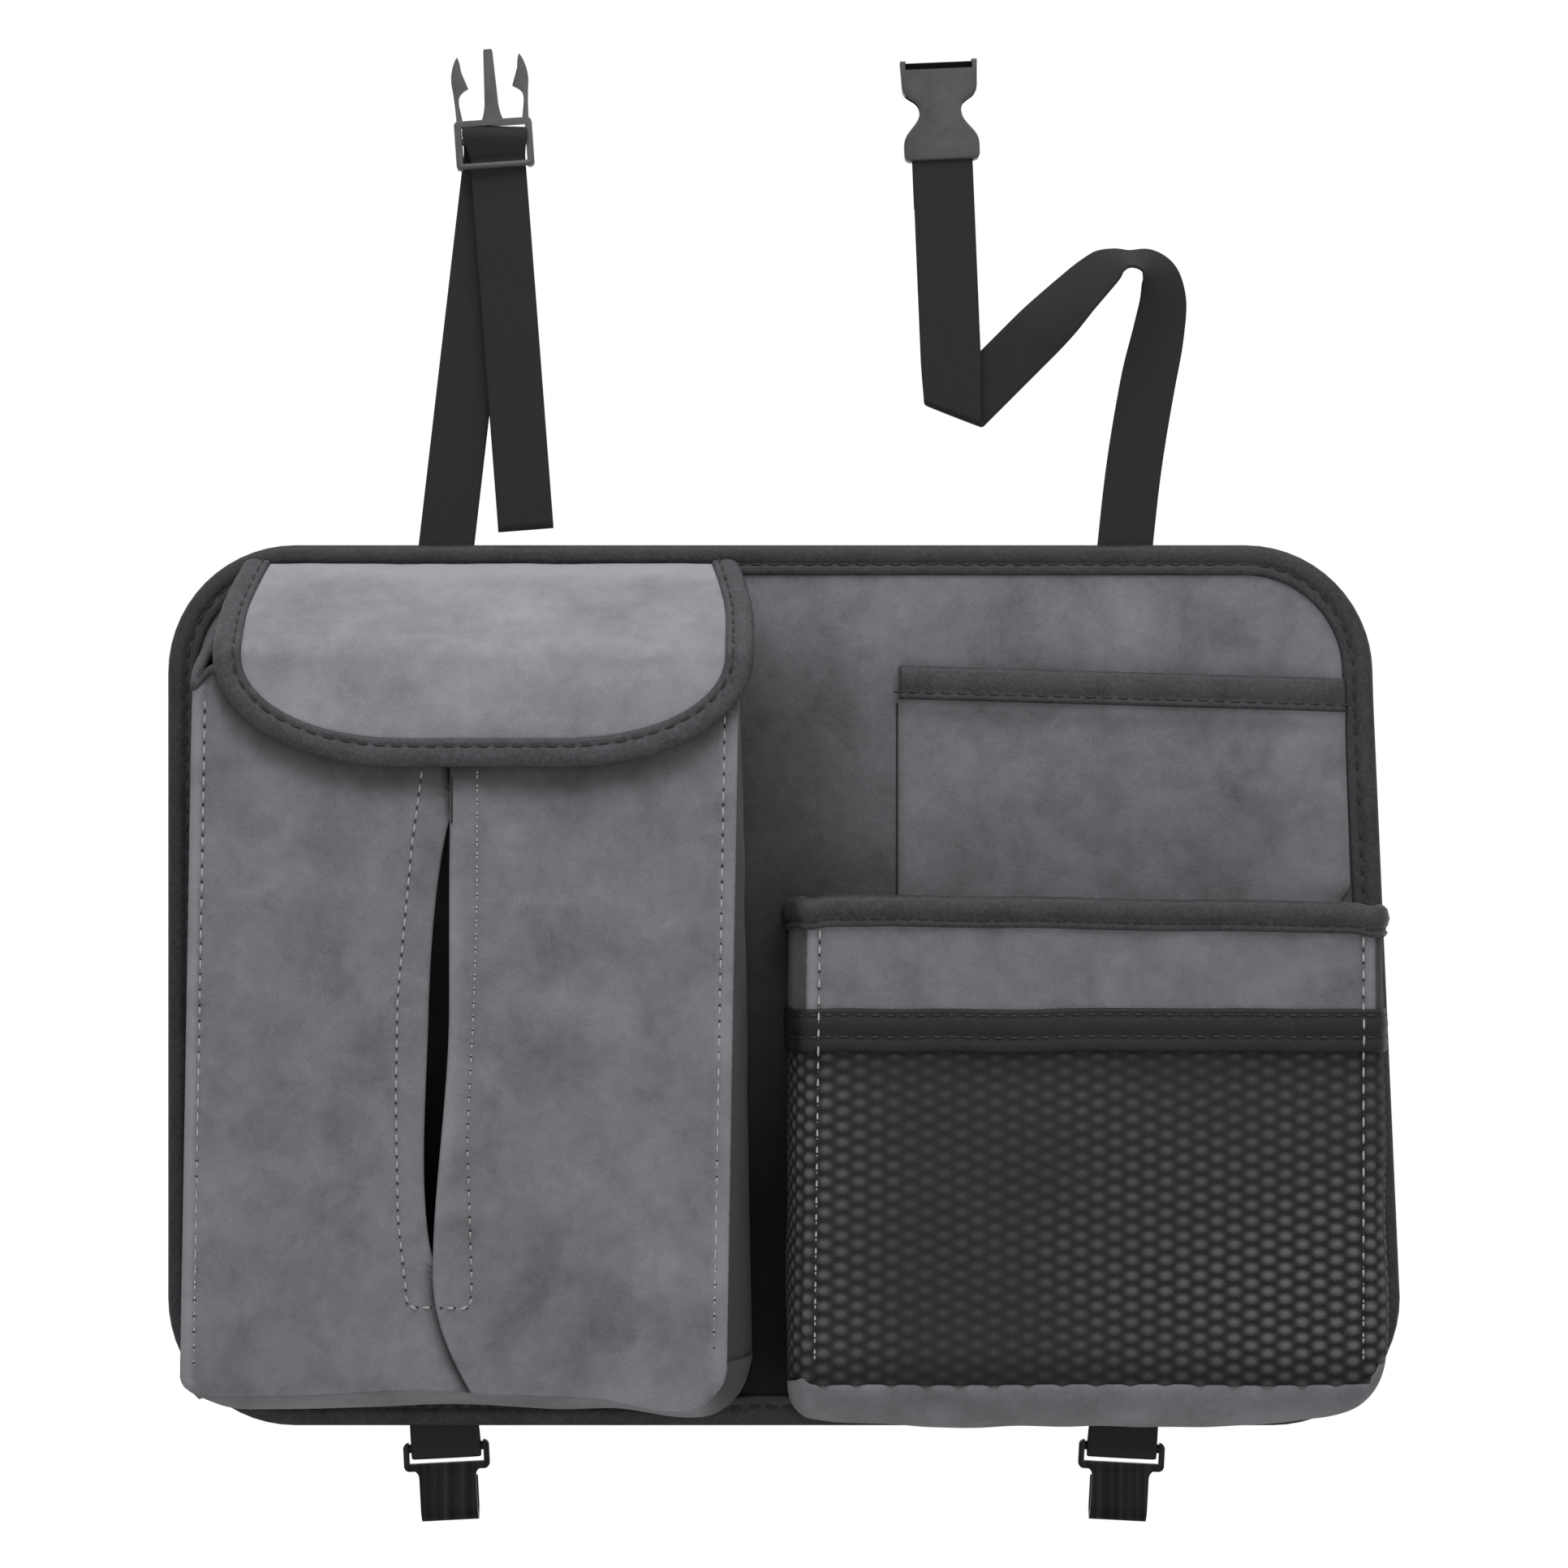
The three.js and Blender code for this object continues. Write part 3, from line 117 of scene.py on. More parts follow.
floor_mesh = bpy.data.meshes.new("floor")
floor_corners = [(x, y, FLOOR_LEVEL) for x, y in [(-1.4, -1.6), (1.4, -1.6), (1.4, 0.16), (-1.4, 0.16)]]
floor_mesh.from_pydata(floor_corners, [], [(0, 1, 2, 3)])
floor = bpy.data.objects.new("floor", floor_mesh)
scene.collection.objects.link(floor)
floor_paint = bpy.data.materials.new("floor_paint")
floor_paint.use_nodes = True
floor_shader = floor_paint.node_tree.nodes["Principled BSDF"]
floor_shader.inputs["Base Color"].default_value = (0.9, 0.9, 0.9, 1)
floor_shader.inputs["Roughness"].default_value = 0.9
floor_mesh.materials.append(floor_paint)
floor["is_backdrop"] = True

# Panel: a stiff board with grey suede cloth on its face, black lining on its back and a folded strip of dark
# leathercloth sewn round the edge. Pockets, straps and tabs are all sewn into it.
BODY = "organizer"
PANEL_HALF, PANEL_TOP, PANEL_LEAN, PANEL_CORNER = 222.5, 159.0, 10.0, 46.0
FACE_Y, BINDING_WIDTH, BINDING_SEAM = -5.4, 11.0, 7.0


class Wire:
    """A value or colour on its way through a material; sums and products on it add Math nodes."""

    def __init__(self, look, socket):
        self.look, self.socket = look, socket

    def math(self, operation, first, second):
        return self.look.node("ShaderNodeMath", {"operation": operation}, [first, second])

    def __add__(self, other):
        return self.math("ADD", self, other)

    def __sub__(self, other):
        return self.math("SUBTRACT", self, other)

    def __rsub__(self, other):
        return self.math("SUBTRACT", other, self)

    def __mul__(self, other):
        return self.math("MULTIPLY", self, other)

    __radd__ = __add__
    __rmul__ = __mul__


class Look:
    """A material built up node by node round one Principled shader."""

    def __init__(self, name, roughness, **constant):
        self.material = bpy.data.materials.new(name)
        self.material.use_nodes = True
        self.tree = self.material.node_tree
        self.shader = self.tree.nodes["Principled BSDF"]
        self.shader.inputs["Roughness"].default_value = roughness
        for socket, value in constant.items():
            self.shader.inputs[socket.replace("_", " ")].default_value = value
        self.object_place = self.node("ShaderNodeTexCoord", {}, {}, "Object")

    def feed(self, socket, value):
        if isinstance(value, Wire):
            self.tree.links.new(value.socket, socket)
        else:
            socket.default_value = value

    def node(self, kind, settings, inputs, output=0):
        node = self.tree.nodes.new(kind)
        for name, value in settings.items():
            setattr(node, name, value)
        for key, value in inputs.items() if isinstance(inputs, dict) else enumerate(inputs):
            self.feed(node.inputs[key], value)
        return Wire(self, node.outputs[output])

    def noise(self, scale, detail=2.0, rough=0.5, place=None, distortion=0.0):
        values = {"Scale": scale, "Detail": detail, "Roughness": rough, "Distortion": distortion}
        values["Vector"] = place or self.object_place
        return self.node("ShaderNodeTexNoise", {}, values, "Fac")

    def spread(self, value, low, high, to_low=0.0, to_high=1.0):
        values = {"Value": value, "From Min": low, "From Max": high, "To Min": to_low, "To Max": to_high}
        return self.node("ShaderNodeMapRange", {"clamp": True}, values)

    def tint(self, factor, first, second):
        """A mix of two colours; 6 and 7 are the Mix node's colour inputs and 2 its colour output."""
        return self.node("ShaderNodeMix", {"data_type": "RGBA"}, {0: factor, 6: first, 7: second}, 2)

    def wave(self, angle):
        """A value that swings between 0 and 1 as the angle grows."""
        return self.node("ShaderNodeMath", {"operation": "SINE"}, [angle]) * 0.5 + 0.5

    def bump(self, height, distance, strength=1.0):
        values = {"Height": height, "Distance": distance, "Strength": strength}
        return self.node("ShaderNodeBump", {}, values)

    def finish(self, color, normal=None, roughness=None):
        self.feed(self.shader.inputs["Base Color"], color)
        if normal:
            self.feed(self.shader.inputs["Normal"], normal)
        if roughness:
            self.feed(self.shader.inputs["Roughness"], roughness)
        return self


def grey(level, coolness=0.0):
    """The linear colour of a printed grey level from 0 to 255."""
    part = level / 255
    value = part / 12.92 if part <= 0.04045 else ((part + 0.055) / 1.055) ** 2.4
    return (value * (1 - coolness), value, value * (1 + 3 * coolness), 1)


def suede(name, dark, light, shade=None):
    """Brushed suede cloth: cloudy scuffs, short nap and a fine grain. The wear and shade value above 0 is nap
    rubbed lighter, and below 0 painted shade where little light reaches. The shade gives two heights in
    metres between which painted shade darkens the cloth downwards."""
    look = Look(name, 0.95, Sheen_Weight=0.12, Sheen_Roughness=0.6, Specular_IOR_Level=0.12)
    drifts = look.noise(17, 2, 0.5)
    clouds = look.noise(44, 4, 0.58, distortion=0.4)
    scuffs = look.noise(150, 4, 0.66, distortion=0.6)
    nap = look.noise(1500, 3, 0.7)
    wear_and_shade_level = look.node("ShaderNodeAttribute", {"attribute_name": "wear_and_shade"}, {}, "Fac")
    patch = look.spread(drifts * 0.3 + clouds * 0.46 + scuffs * 0.24 + nap * 0.26 + wear_and_shade_level * 0.16, 0.46, 0.82)
    unlit = grey(dark * 0.24, 0.02)
    color = look.tint(patch, grey(dark, 0.02), grey(light, 0.02))
    color = look.tint(look.spread(wear_and_shade_level, -1.0, 0.0), unlit, color)
    if shade:
        height = look.node("ShaderNodeSeparateXYZ", {}, [look.object_place], "Z")
        color = look.tint(look.spread(height, *shade), unlit, color)
    return look.finish(
        color,
        look.bump(nap * 0.6 + scuffs * 0.4, 0.0004, 0.8),
        look.spread(scuffs, 0.3, 0.7, 0.88, 0.98),
    )


def leathercloth(name, dark, light):
    """Smooth dark leathercloth: fine pebbled grain, soft creases and rubbed high spots."""
    look = Look(name, 0.55, Specular_IOR_Level=0.22)
    values = {"Vector": look.object_place, "Scale": 850.0}
    cells = look.node("ShaderNodeTexVoronoi", {"feature": "SMOOTH_F1"}, values, "Distance")
    tone_shift = look.noise(90, 5, 0.65)
    creases = look.noise(260, 3, 0.6, distortion=1.2)
    patch = look.spread(tone_shift * 0.7 + cells * 0.4, 0.35, 0.85)
    return look.finish(
        look.tint(patch, grey(dark, 0.025), grey(light, 0.025)),
        look.bump(cells * 0.5 + creases * 0.5, 0.0003, 0.7),
        look.spread(tone_shift, 0.3, 0.7, 0.46, 0.64),
    )


# Painted shade: the panel's suede darkens downwards, between the pockets.
panel_suede = suede("panel_suede", 97, 144, (-0.075, 0.1))
binding_leather = leathercloth("binding_leathercloth", 44, 72)


def mix(first, second, share):
    return first + (second - first) * share


def ease(value, low, high):
    share = min(1.0, max(0.0, (value - low) / (high - low)))
    return share * share * (3 - 2 * share)


def wander(x, y, z, size):
    """A smooth random number from about -1 to 1 that changes over that many millimetres."""
    return noise.noise(Vector((x / size, y / size, z / size)))


def keep_wear_and_shade(piece, wear_and_shade, points):
    """Keeps with each point how much the nap is rubbed there, and how much painted shade darkens it."""
    tone_shift = piece.data.attributes.new("wear_and_shade", "FLOAT", "POINT")
    tone_shift.data.foreach_set("value", [wear_and_shade(point[0], point[2]) for point in points])


def add_piece(name, mesh, body=BODY):
    """Makes a mesh a piece of the part that rides a body."""
    piece = bpy.data.objects.new(name, mesh)
    scene.collection.objects.link(piece)
    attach(piece, body)
    return piece


def make_piece(name, points, faces, look, uvs=None):
    """A smooth mesh piece from points in millimetres."""
    mesh = bpy.data.meshes.new(name)
    mesh.from_pydata([tuple(0.001 * v for v in point) for point in points], [], faces)
    if uvs is not None:
        layer = mesh.uv_layers.new(name="cloth")
        for loop in mesh.loops:
            layer.data[loop.index].uv = uvs[loop.vertex_index]
    sealed = bmesh.new()
    sealed.from_mesh(mesh)
    bmesh.ops.recalc_face_normals(sealed, faces=sealed.faces)
    sealed.to_mesh(mesh)
    sealed.free()
    mesh.polygons.foreach_set("use_smooth", [True] * len(mesh.polygons))
    mesh.materials.append(look.material)
    return add_piece(name, mesh)


def unit(rows):
    return rows / np.maximum(np.linalg.norm(rows, axis=-1, keepdims=True), 1e-9)


def cloth(name, rows, columns, place, thickness, outward, look, wear_and_shade=None):
    """A sheet of cloth with soft edges. place(u, v) gives its outer face, v running down the rows, and
    wear_and_shade(x, z) how much the nap is rubbed there, and below 0 how much painted shade darkens it."""
    outer = np.array([[place(c / columns, r / rows) for c in range(columns + 1)] for r in range(rows + 1)])
    normal = unit(np.cross(np.gradient(outer, axis=0), np.gradient(outer, axis=1)))
    if (normal * np.array(outward)).sum() < 0:
        normal = -normal
    inner = outer - normal * thickness
    count_r, count_c = outer.shape[:2]
    points = [*outer.reshape(-1, 3), *inner.reshape(-1, 3)]
    half = count_r * count_c
    faces = []
    for r in range(count_r - 1):
        for c in range(count_c - 1):
            a = r * count_c + c
            faces.append((a, a + 1, a + count_c + 1, a + count_c))
            faces.append((half + a, half + a + count_c, half + a + count_c + 1, half + a + 1))
    edge = [(0, c) for c in range(count_c)]
    edge += [(r, count_c - 1) for r in range(1, count_r)]
    edge += [(count_r - 1, c) for c in range(count_c - 2, -1, -1)]
    edge += [(r, 0) for r in range(count_r - 2, 0, -1)]
    start = len(points)
    for r, c in edge:
        inside = outer[min(max(r, 1), count_r - 2), min(max(c, 1), count_c - 2)]
        out = unit(outer[r, c] - inside)
        points.append((outer[r, c] + inner[r, c]) / 2 + out * thickness * 0.32)
    for i, (r, c) in enumerate(edge):
        j = (i + 1) % len(edge)
        a, b = r * count_c + c, edge[j][0] * count_c + edge[j][1]
        faces.append((b, a, start + i, start + j))
        faces.append((start + j, start + i, half + a, half + b))
    piece = make_piece(name, points, faces, look)
    if wear_and_shade:
        keep_wear_and_shade(piece, wear_and_shade, points)
    return piece


def strip(name, rings, look, closed=False, uvs=None):
    """A solid strip through rings of section points, closed on itself or with flat ends."""
    rings = np.array(rings)
    count, around = rings.shape[:2]
    faces = []
    for r in range(count if closed else count - 1):
        below = (r + 1) % count
        for i in range(around):
            j = (i + 1) % around
            faces.append((r * around + i, r * around + j, below * around + j, below * around + i))
    if not closed:
        faces.append(tuple(range(around)))
        faces.append(tuple(reversed(range((count - 1) * around, count * around))))
    return make_piece(name, rings.reshape(-1, 3), faces, look, uvs)


def panel_outline(inset):
    """The panel's outline as X and Z, a distance inside its edge, always with as many points."""
    low, high = -PANEL_TOP + inset, PANEL_TOP - inset
    left = -PANEL_HALF + inset
    right_low, right_high = PANEL_HALF - inset, PANEL_HALF - PANEL_LEAN - inset
    radius = max(1.0, PANEL_CORNER - inset)
    turns = [
        (left + radius, low + radius, 180), (right_low - radius, low + radius, 270),
        (right_high - radius, high - radius, 0), (left + radius, high - radius, 90),
    ]
    arcs = []
    for x, z, start in turns:
        angles = [math.radians(start + 90 * i / 14) for i in range(15)]
        arcs.append([(x + radius * math.cos(a), z + radius * math.sin(a)) for a in angles])
    points = []
    for i, arc in enumerate(arcs):
        after = arcs[(i + 1) % 4][0]
        points += arc
        between = 70 if i % 2 == 0 else 48
        points += [
            (mix(arc[-1][0], after[0], k / between), mix(arc[-1][1], after[1], k / between))
            for k in range(1, between)
        ]
    return np.array(points)


def panel_sheet(name, inset, level, swell, look, node, front, wear_and_shade=None):
    """A sheet over the whole panel that swells a little between its edges."""
    rim = panel_outline(inset)
    centre = rim.mean(axis=0)
    shares = [1, 0.985, 0.96, 0.93, 0.88, 0.82, 0.75, 0.67, 0.58, 0.48, 0.37, 0.25, 0.12]
    points, faces = [], []
    side = -1 if front else 1
    for share in shares:
        for x, z in (rim - centre) * share + centre:
            depth = swell * (0.55 + 0.45 * wander(x, 0, z, 60)) * ease(1 - share, 0, 0.12)
            points.append((x, level + side * depth, z))
    count = len(rim)
    for ring in range(len(shares) - 1):
        here, after = ring * count, (ring + 1) * count
        for i in range(count):
            j = (i + 1) % count
            faces.append((here + i, here + j, after + j, after + i))
    middle = len(points)
    points.append((centre[0], level + side * swell * 0.55, centre[1]))
    back = len(points)
    points += [(x, level - side * 0.9, z) for x, z in rim]
    last = (len(shares) - 1) * count
    for i in range(count):
        j = (i + 1) % count
        faces.append((last + i, last + j, middle))
        faces.append((j, i, back + i, back + j))
    faces.append(tuple(range(back, back + count)))
    sheet = make_piece(name, points, faces, look)
    if wear_and_shade:
        keep_wear_and_shade(sheet, wear_and_shade, points)
    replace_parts(sheet, node)


def pocket_shade(x, z):
    """Painted shade: the panel is darker beside the deep pocket at its left."""
    return -0.42 * (1 - ease(x, -8, 62)) * (1 - ease(z, 100, 140)) * ease(x, -60, -20)


lining_cloth = Look("lining_cloth", 0.85, Specular_IOR_Level=0.15)
threads = lining_cloth.noise(1500, 2, 0.5)
folds = lining_cloth.noise(30, 4, 0.6)
lining_cloth.finish(
    lining_cloth.tint(lining_cloth.spread(folds, 0.3, 0.7), grey(30), grey(44)),
    lining_cloth.bump(threads + folds * 0.5, 0.0003, 0.8),
)
panel_sheet("panel_face_cloth", 1.5, FACE_Y, 0.5, panel_suede, "panel_face", True, pocket_shade)
panel_sheet("panel_lining_cloth", 10.5, -0.6, 0.4, lining_cloth, "panel_lining", False)

board_core = Look("board_core", 0.7)
core_grain = board_core.noise(300, 3, 0.6)
board_core.finish(board_core.tint(core_grain, grey(30), grey(40)), board_core.bump(core_grain, 0.0002))
board_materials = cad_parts["panel_board"].data.materials
board_materials.clear()
board_materials.append(board_core.material)

# Edge binding: a strip of dark leathercloth folded over the panel's edge and sewn through. Its section goes
# from its front edge over the panel's edge to its rear edge, as the distance inside the panel's edge and the
# Y. A groove is pulled in where the seam runs.
BINDING_SECTION = [
    (11.0, -5.5), (10.9, -6.2), (10.2, -6.7), (8.8, -6.8), (7.7, -6.4), (7.0, -5.95), (6.3, -6.4),
    (5.0, -6.98), (3.2, -7.0), (1.4, -6.6), (0.35, -5.6), (0.0, -4.0), (0.0, -2.4), (0.4, -0.9),
    (1.5, -0.15), (4.0, 0.0), (7.0, 0.0), (10.4, 0.0), (11.0, -0.3), (10.8, -0.9), (1.4, -1.2),
    (1.3, -5.2), (10.6, -5.3),
]
outlines = {inset: panel_outline(inset) for inset, _ in BINDING_SECTION}
rings = []
for i in range(len(outlines[0.0])):
    ring = []
    for inset, y in BINDING_SECTION:
        x, z = outlines[inset][i]
        bulge = 0.22 * wander(x, inset, z, 9) + 0.14 * wander(x, inset, z, 3.5)
        ring.append((x, y - bulge if y < -5.5 and inset < 10.5 else y, z))
    rings.append(ring)
panel_binding = strip("panel_edge_binding", rings, binding_leather, closed=True)
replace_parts(panel_binding, "panel_binding")

# Sewing: every seam is a row of thread stitches laid along a line on the cloth. The tree spaces one stitch
# along the line again and again and turns each along it.


def new_tree(name, inputs, result):
    """An empty Geometry Nodes tree with named inputs, and the identifier of each."""
    tree = bpy.data.node_groups.new(name, "GeometryNodeTree")
    identifiers = {}
    for label, kind in inputs:
        identifiers[label] = tree.interface.new_socket(label, in_out="INPUT", socket_type=kind).identifier
    tree.interface.new_socket(result, in_out="OUTPUT", socket_type="NodeSocketGeometry")
    return tree, identifiers


def run_tree(name, guide_mesh, tree, identifiers, values):
    """The mesh that a tree makes out of a guide mesh, with those values for its inputs."""
    guide = bpy.data.objects.new(name + "_guide", guide_mesh)
    scene.collection.objects.link(guide)
    modifier = guide.modifiers.new(tree.name, "NODES")
    modifier.node_group = tree
    for label, value in values.items():
        modifier[identifiers[label]] = value
    mesh = bpy.data.meshes.new_from_object(guide.evaluated_get(bpy.context.evaluated_depsgraph_get()))
    bpy.data.objects.remove(guide)
    mesh.name = name
    return mesh


sewing, sewing_inputs = new_tree(
    "sewing",
    [
        ("Seam", "NodeSocketGeometry"), ("Pitch", "NodeSocketFloat"), ("Stitch length", "NodeSocketFloat"),
        ("Thread width", "NodeSocketFloat"), ("Thread", "NodeSocketMaterial"),
    ],
    "Stitches",
)
sew_in = sewing.nodes.new("NodeGroupInput")
line = sewing.nodes.new("GeometryNodeMeshToCurve")
spaced = sewing.nodes.new("GeometryNodeResampleCurve")
spaced.mode = "LENGTH"
bead = sewing.nodes.new("GeometryNodeMeshUVSphere")
bead.inputs["Segments"].default_value = 6
bead.inputs["Rings"].default_value = 5
bead.inputs["Radius"].default_value = 0.5
sizes = sewing.nodes.new("ShaderNodeCombineXYZ")
shaped = sewing.nodes.new("GeometryNodeTransform")
tangent = sewing.nodes.new("GeometryNodeInputTangent")
turned = sewing.nodes.new("FunctionNodeAlignRotationToVector")
turned.axis = "Z"
placed = sewing.nodes.new("GeometryNodeInstanceOnPoints")
real = sewing.nodes.new("GeometryNodeRealizeInstances")
smooth = sewing.nodes.new("GeometryNodeSetShadeSmooth")
dyed = sewing.nodes.new("GeometryNodeSetMaterial")
sew_out = sewing.nodes.new("NodeGroupOutput")
for source, target in [
    (sew_in.outputs["Seam"], line.inputs["Mesh"]),
    (line.outputs["Curve"], spaced.inputs["Curve"]),
    (sew_in.outputs["Pitch"], spaced.inputs["Length"]),
    (sew_in.outputs["Thread width"], sizes.inputs["X"]),
    (sew_in.outputs["Thread width"], sizes.inputs["Y"]),
    (sew_in.outputs["Stitch length"], sizes.inputs["Z"]),
    (bead.outputs["Mesh"], shaped.inputs["Geometry"]),
    (sizes.outputs["Vector"], shaped.inputs["Scale"]),
    (tangent.outputs["Tangent"], turned.inputs["Vector"]),
    (spaced.outputs["Curve"], placed.inputs["Points"]),
    (shaped.outputs["Geometry"], placed.inputs["Instance"]),
    (turned.outputs["Rotation"], placed.inputs["Rotation"]),
    (placed.outputs["Instances"], real.inputs["Geometry"]),
    (real.outputs["Geometry"], smooth.inputs["Geometry"]),
    (smooth.outputs["Geometry"], dyed.inputs["Geometry"]),
    (sew_in.outputs["Thread"], dyed.inputs["Material"]),
    (dyed.outputs["Geometry"], sew_out.inputs["Stitches"]),
]:
    sewing.links.new(source, target)


def thread(name, level):
    """Twisted sewing thread, a little glossy."""
    look = Look(name, 0.55)
    twist = look.noise(3000, 1, 0.5)
    return look.finish(look.tint(twist, grey(level * 0.8), grey(level)), look.bump(twist, 0.0001))


dark_thread = thread("dark_thread", 15)
pale_thread = thread("pale_thread", 196)
fine_thread = thread("fine_thread", 190)


def sew(name, seams, pitch, length, width, look, lead=0.0):
    """Sews rows of stitches, each along a line of points in millimetres, and keeps them as one piece. The
    first stitch lies the lead along the line."""
    points, edges = [], []
    for seam in seams:
        start = len(points)
        seam = np.array(seam)
        first = seam[0] + unit(seam[1] - seam[0]) * lead
        points += [tuple(0.001 * v for v in point) for point in (first, *seam[1:])]
        edges += [(i, i + 1) for i in range(start, len(points) - 1)]
    line_mesh = bpy.data.meshes.new(name + "_line")
    line_mesh.from_pydata(points, edges, [])
    values = {
        "Pitch": 0.001 * pitch, "Stitch length": 0.001 * length, "Thread width": 0.001 * width,
        "Thread": look.material,
    }
    add_piece(name, run_tree(name, line_mesh, sewing, sewing_inputs, values))


seam = [(x, -6.2, z) for x, z in panel_outline(BINDING_SEAM)]
sew("panel_edge_stitches", [[*seam, seam[0]]], 6.3, 4.2, 0.9, dark_thread)

# Tissue pocket: a deep pocket of suede cloth. Its front is two halves, the right one lapping over the left,
# that part in a long slit. A frame of pale stitches runs round the slit, and a pale seam down each corner.
TISSUE_RIM, TISSUE_FOOT, TISSUE_FRONT = 115.0, -143.0, -51.4
TISSUE_MIDDLE, TISSUE_HALF, TISSUE_SKEW = -112.0, 95.5, 4.5
TISSUE_SEAM_LEFT, TISSUE_SEAM_RIGHT, SEAM_FOOT = -210.3, -16.2, -146.8
FRONT_RADII, SEAM_RADII = (8.0, 12.0), (33.8, 14.0)
SLIT_TOP, SLIT_LOW, SLIT_GAPE, LAP = 62, -96, 8.8, 2.1
FLAP_CENTRE, FLAP_HALF, FLAP_CORNER, FLAP_CORNER_DEEP, FLAP_CORNER_Z = -105.5, 95, 70, 39.5, 78.6
SUEDE, POCKET_DEPTH, CORNER_SEAM = 1.8, 46, 4
tissue_suede = suede("tissue_suede", 101, 146)


def tissue_share(z):
    return (TISSUE_RIM - z) / (TISSUE_RIM - TISSUE_FOOT)


def tissue_edge(side, z):
    return TISSUE_MIDDLE + side * TISSUE_HALF - TISSUE_SKEW * tissue_share(z)


def tissue_seam(side, z):
    return TISSUE_SEAM_LEFT if side < 0 else TISSUE_SEAM_RIGHT + 5 * tissue_share(z)


def slit_edge(z):
    curl = max(0.0, (-100 - z) / 43)
    return -116.8 - 6.2 * ease(-5 - z, 0, 100) + 13.5 * curl * curl


def slit_opening(z):
    """How wide the slit gapes, or below 0 how far the right half laps over the left one."""
    beyond = max(z - SLIT_TOP, SLIT_LOW - z)
    if beyond > 0:
        return -min(6.0, beyond)
    return SLIT_GAPE * math.sin(math.pi * (SLIT_TOP - z) / (SLIT_TOP - SLIT_LOW)) ** 0.6


def tissue_span(z):
    """The front's left and right edges at a height, with its rounded lower corners."""
    insets = []
    for radius in FRONT_RADII:
        low = min(radius, max(0.0, TISSUE_FOOT + radius - z))
        insets.append(radius - math.sqrt(radius**2 - low**2))
    return tissue_edge(-1, z) + insets[0], tissue_edge(1, z) - insets[1]


def tissue_sag(x):
    """How far the pocket's lower edge is drawn up under the slit and sags beside it."""
    return 2.4 * math.exp(-(((x + 129) / 32) ** 2)) - 5.2 * math.exp(-(((x + 39) / 19) ** 2))


def tissue_relief(x, z):
    """How far the front stands forward of its flat plane: swell, slack and the pucker along its corner
    seams."""
    across = min(1.0, max(0.0, (x - tissue_edge(-1, z)) / (2 * TISSUE_HALF)))
    swell = 3 * math.sin(math.pi * across) * math.sin(math.pi * min(1, max(0, tissue_share(z)))) ** 2
    slack = 0.8 * wander(x, 3, z, 46) + 0.35 * wander(x, 9, z, 17)
    inside = min(x - tissue_edge(-1, z), tissue_edge(1, z) - x)
    seam_pull = 0.45 * math.exp(-(((inside - CORNER_SEAM) / 1.3) ** 2))
    seam_pull *= 1.1 + math.sin(2 * math.pi * z / 5.5)
    return swell + slack * ease(inside, 3, 25) - seam_pull + 0.35 * math.exp(-((inside / 1.6) ** 2))


def tissue_front(x, z):
    return np.array((x, TISSUE_FRONT - tissue_relief(x, z), z))


def tissue_wear_and_shade(x, z):
    """Rubbed bands along the folded corners, outside the pale seams, and along the lips of the slit; a
    painted shadow darkens the cloth under the flap."""
    inside = min(x - tissue_edge(-1, z), tissue_edge(1, z) - x)
    lips = math.exp(-(((x - slit_edge(z)) / 4) ** 2)) * ease(slit_opening(z), 0, 6)
    beyond = min(1.0, max(0.0, abs(x - FLAP_CENTRE) - (FLAP_HALF - FLAP_CORNER)) / FLAP_CORNER)
    flap_edge = FLAP_CORNER_Z + FLAP_CORNER_DEEP * (1 - math.sqrt(1 - beyond**2))
    flap_shadow = 1 - ease(flap_edge - z, 1, 14)
    return (1 - ease(inside, 2.4, 4.2) + 0.7 * lips) * (1 - flap_shadow) - 0.5 * flap_shadow


def left_wear_and_lap_shadow(x, z):
    """Painted shadow also darkens the left half where the right one laps over it."""
    lapped = math.exp(-(((x - slit_edge(z)) / 2.2) ** 2)) * (1 - ease(slit_opening(z), -1.5, 2.5))
    return tissue_wear_and_shade(x, z) - 0.75 * lapped


def down_tissue(v):
    """Heights that crowd together round the foot's corner."""
    return mix(113.5, -134.5, v / 0.94) if v < 0.94 else -135 - 8 * math.sin((v - 0.94) / 0.06 * math.pi / 2)


def left_half(u, v):
    z = down_tissue(v)
    left, _ = tissue_span(z)
    lapped = mix(0.3, slit_opening(z), 1 - ease(z, 66, 73))
    x = mix(left, slit_edge(z) - lapped, u)
    lip = 0.5 * math.exp(-((1 - u) * 18)) * ease(slit_opening(z), 0, 6)
    cut = 6 * (1 - ease(x - left, 0, 7)) * max(0.0, 1 - v / 0.08)
    return tissue_front(x, z) + (0, -lip, tissue_sag(x) * ease(-z, 90, 143) - cut)


def lapping(x, z):
    """How far the right half stands forward where it laps over the left one."""
    return LAP * (1 - ease(x - slit_edge(z), 6, 14)) * (1 - ease(z, 75, 84))


def right_half(u, v):
    z = down_tissue(v)
    _, right = tissue_span(z)
    edge = slit_edge(z)
    x = mix(edge, right, u**1.35)
    lip = 0.5 * math.exp(-(x - edge) / 2.5) * ease(slit_opening(z), 0, 6)
    return tissue_front(x, z) + (0, -lapping(x, z) - lip, tissue_sag(x) * ease(-z, 90, 143))


for word, half, wear_and_shade in [("left", left_half, left_wear_and_lap_shadow), ("right", right_half, tissue_wear_and_shade)]:
    front = cloth(
        f"tissue_front_{word}_half", 110, 44, half, SUEDE, (0, -1, 0), tissue_suede, wear_and_shade
    )
    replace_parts(front, f"tissue_front_{word}")


def side_rim(u):
    """The height of the left side wall's rim, which climbs back from the front's corner to the panel."""
    return 125.5 - 15 * u * u


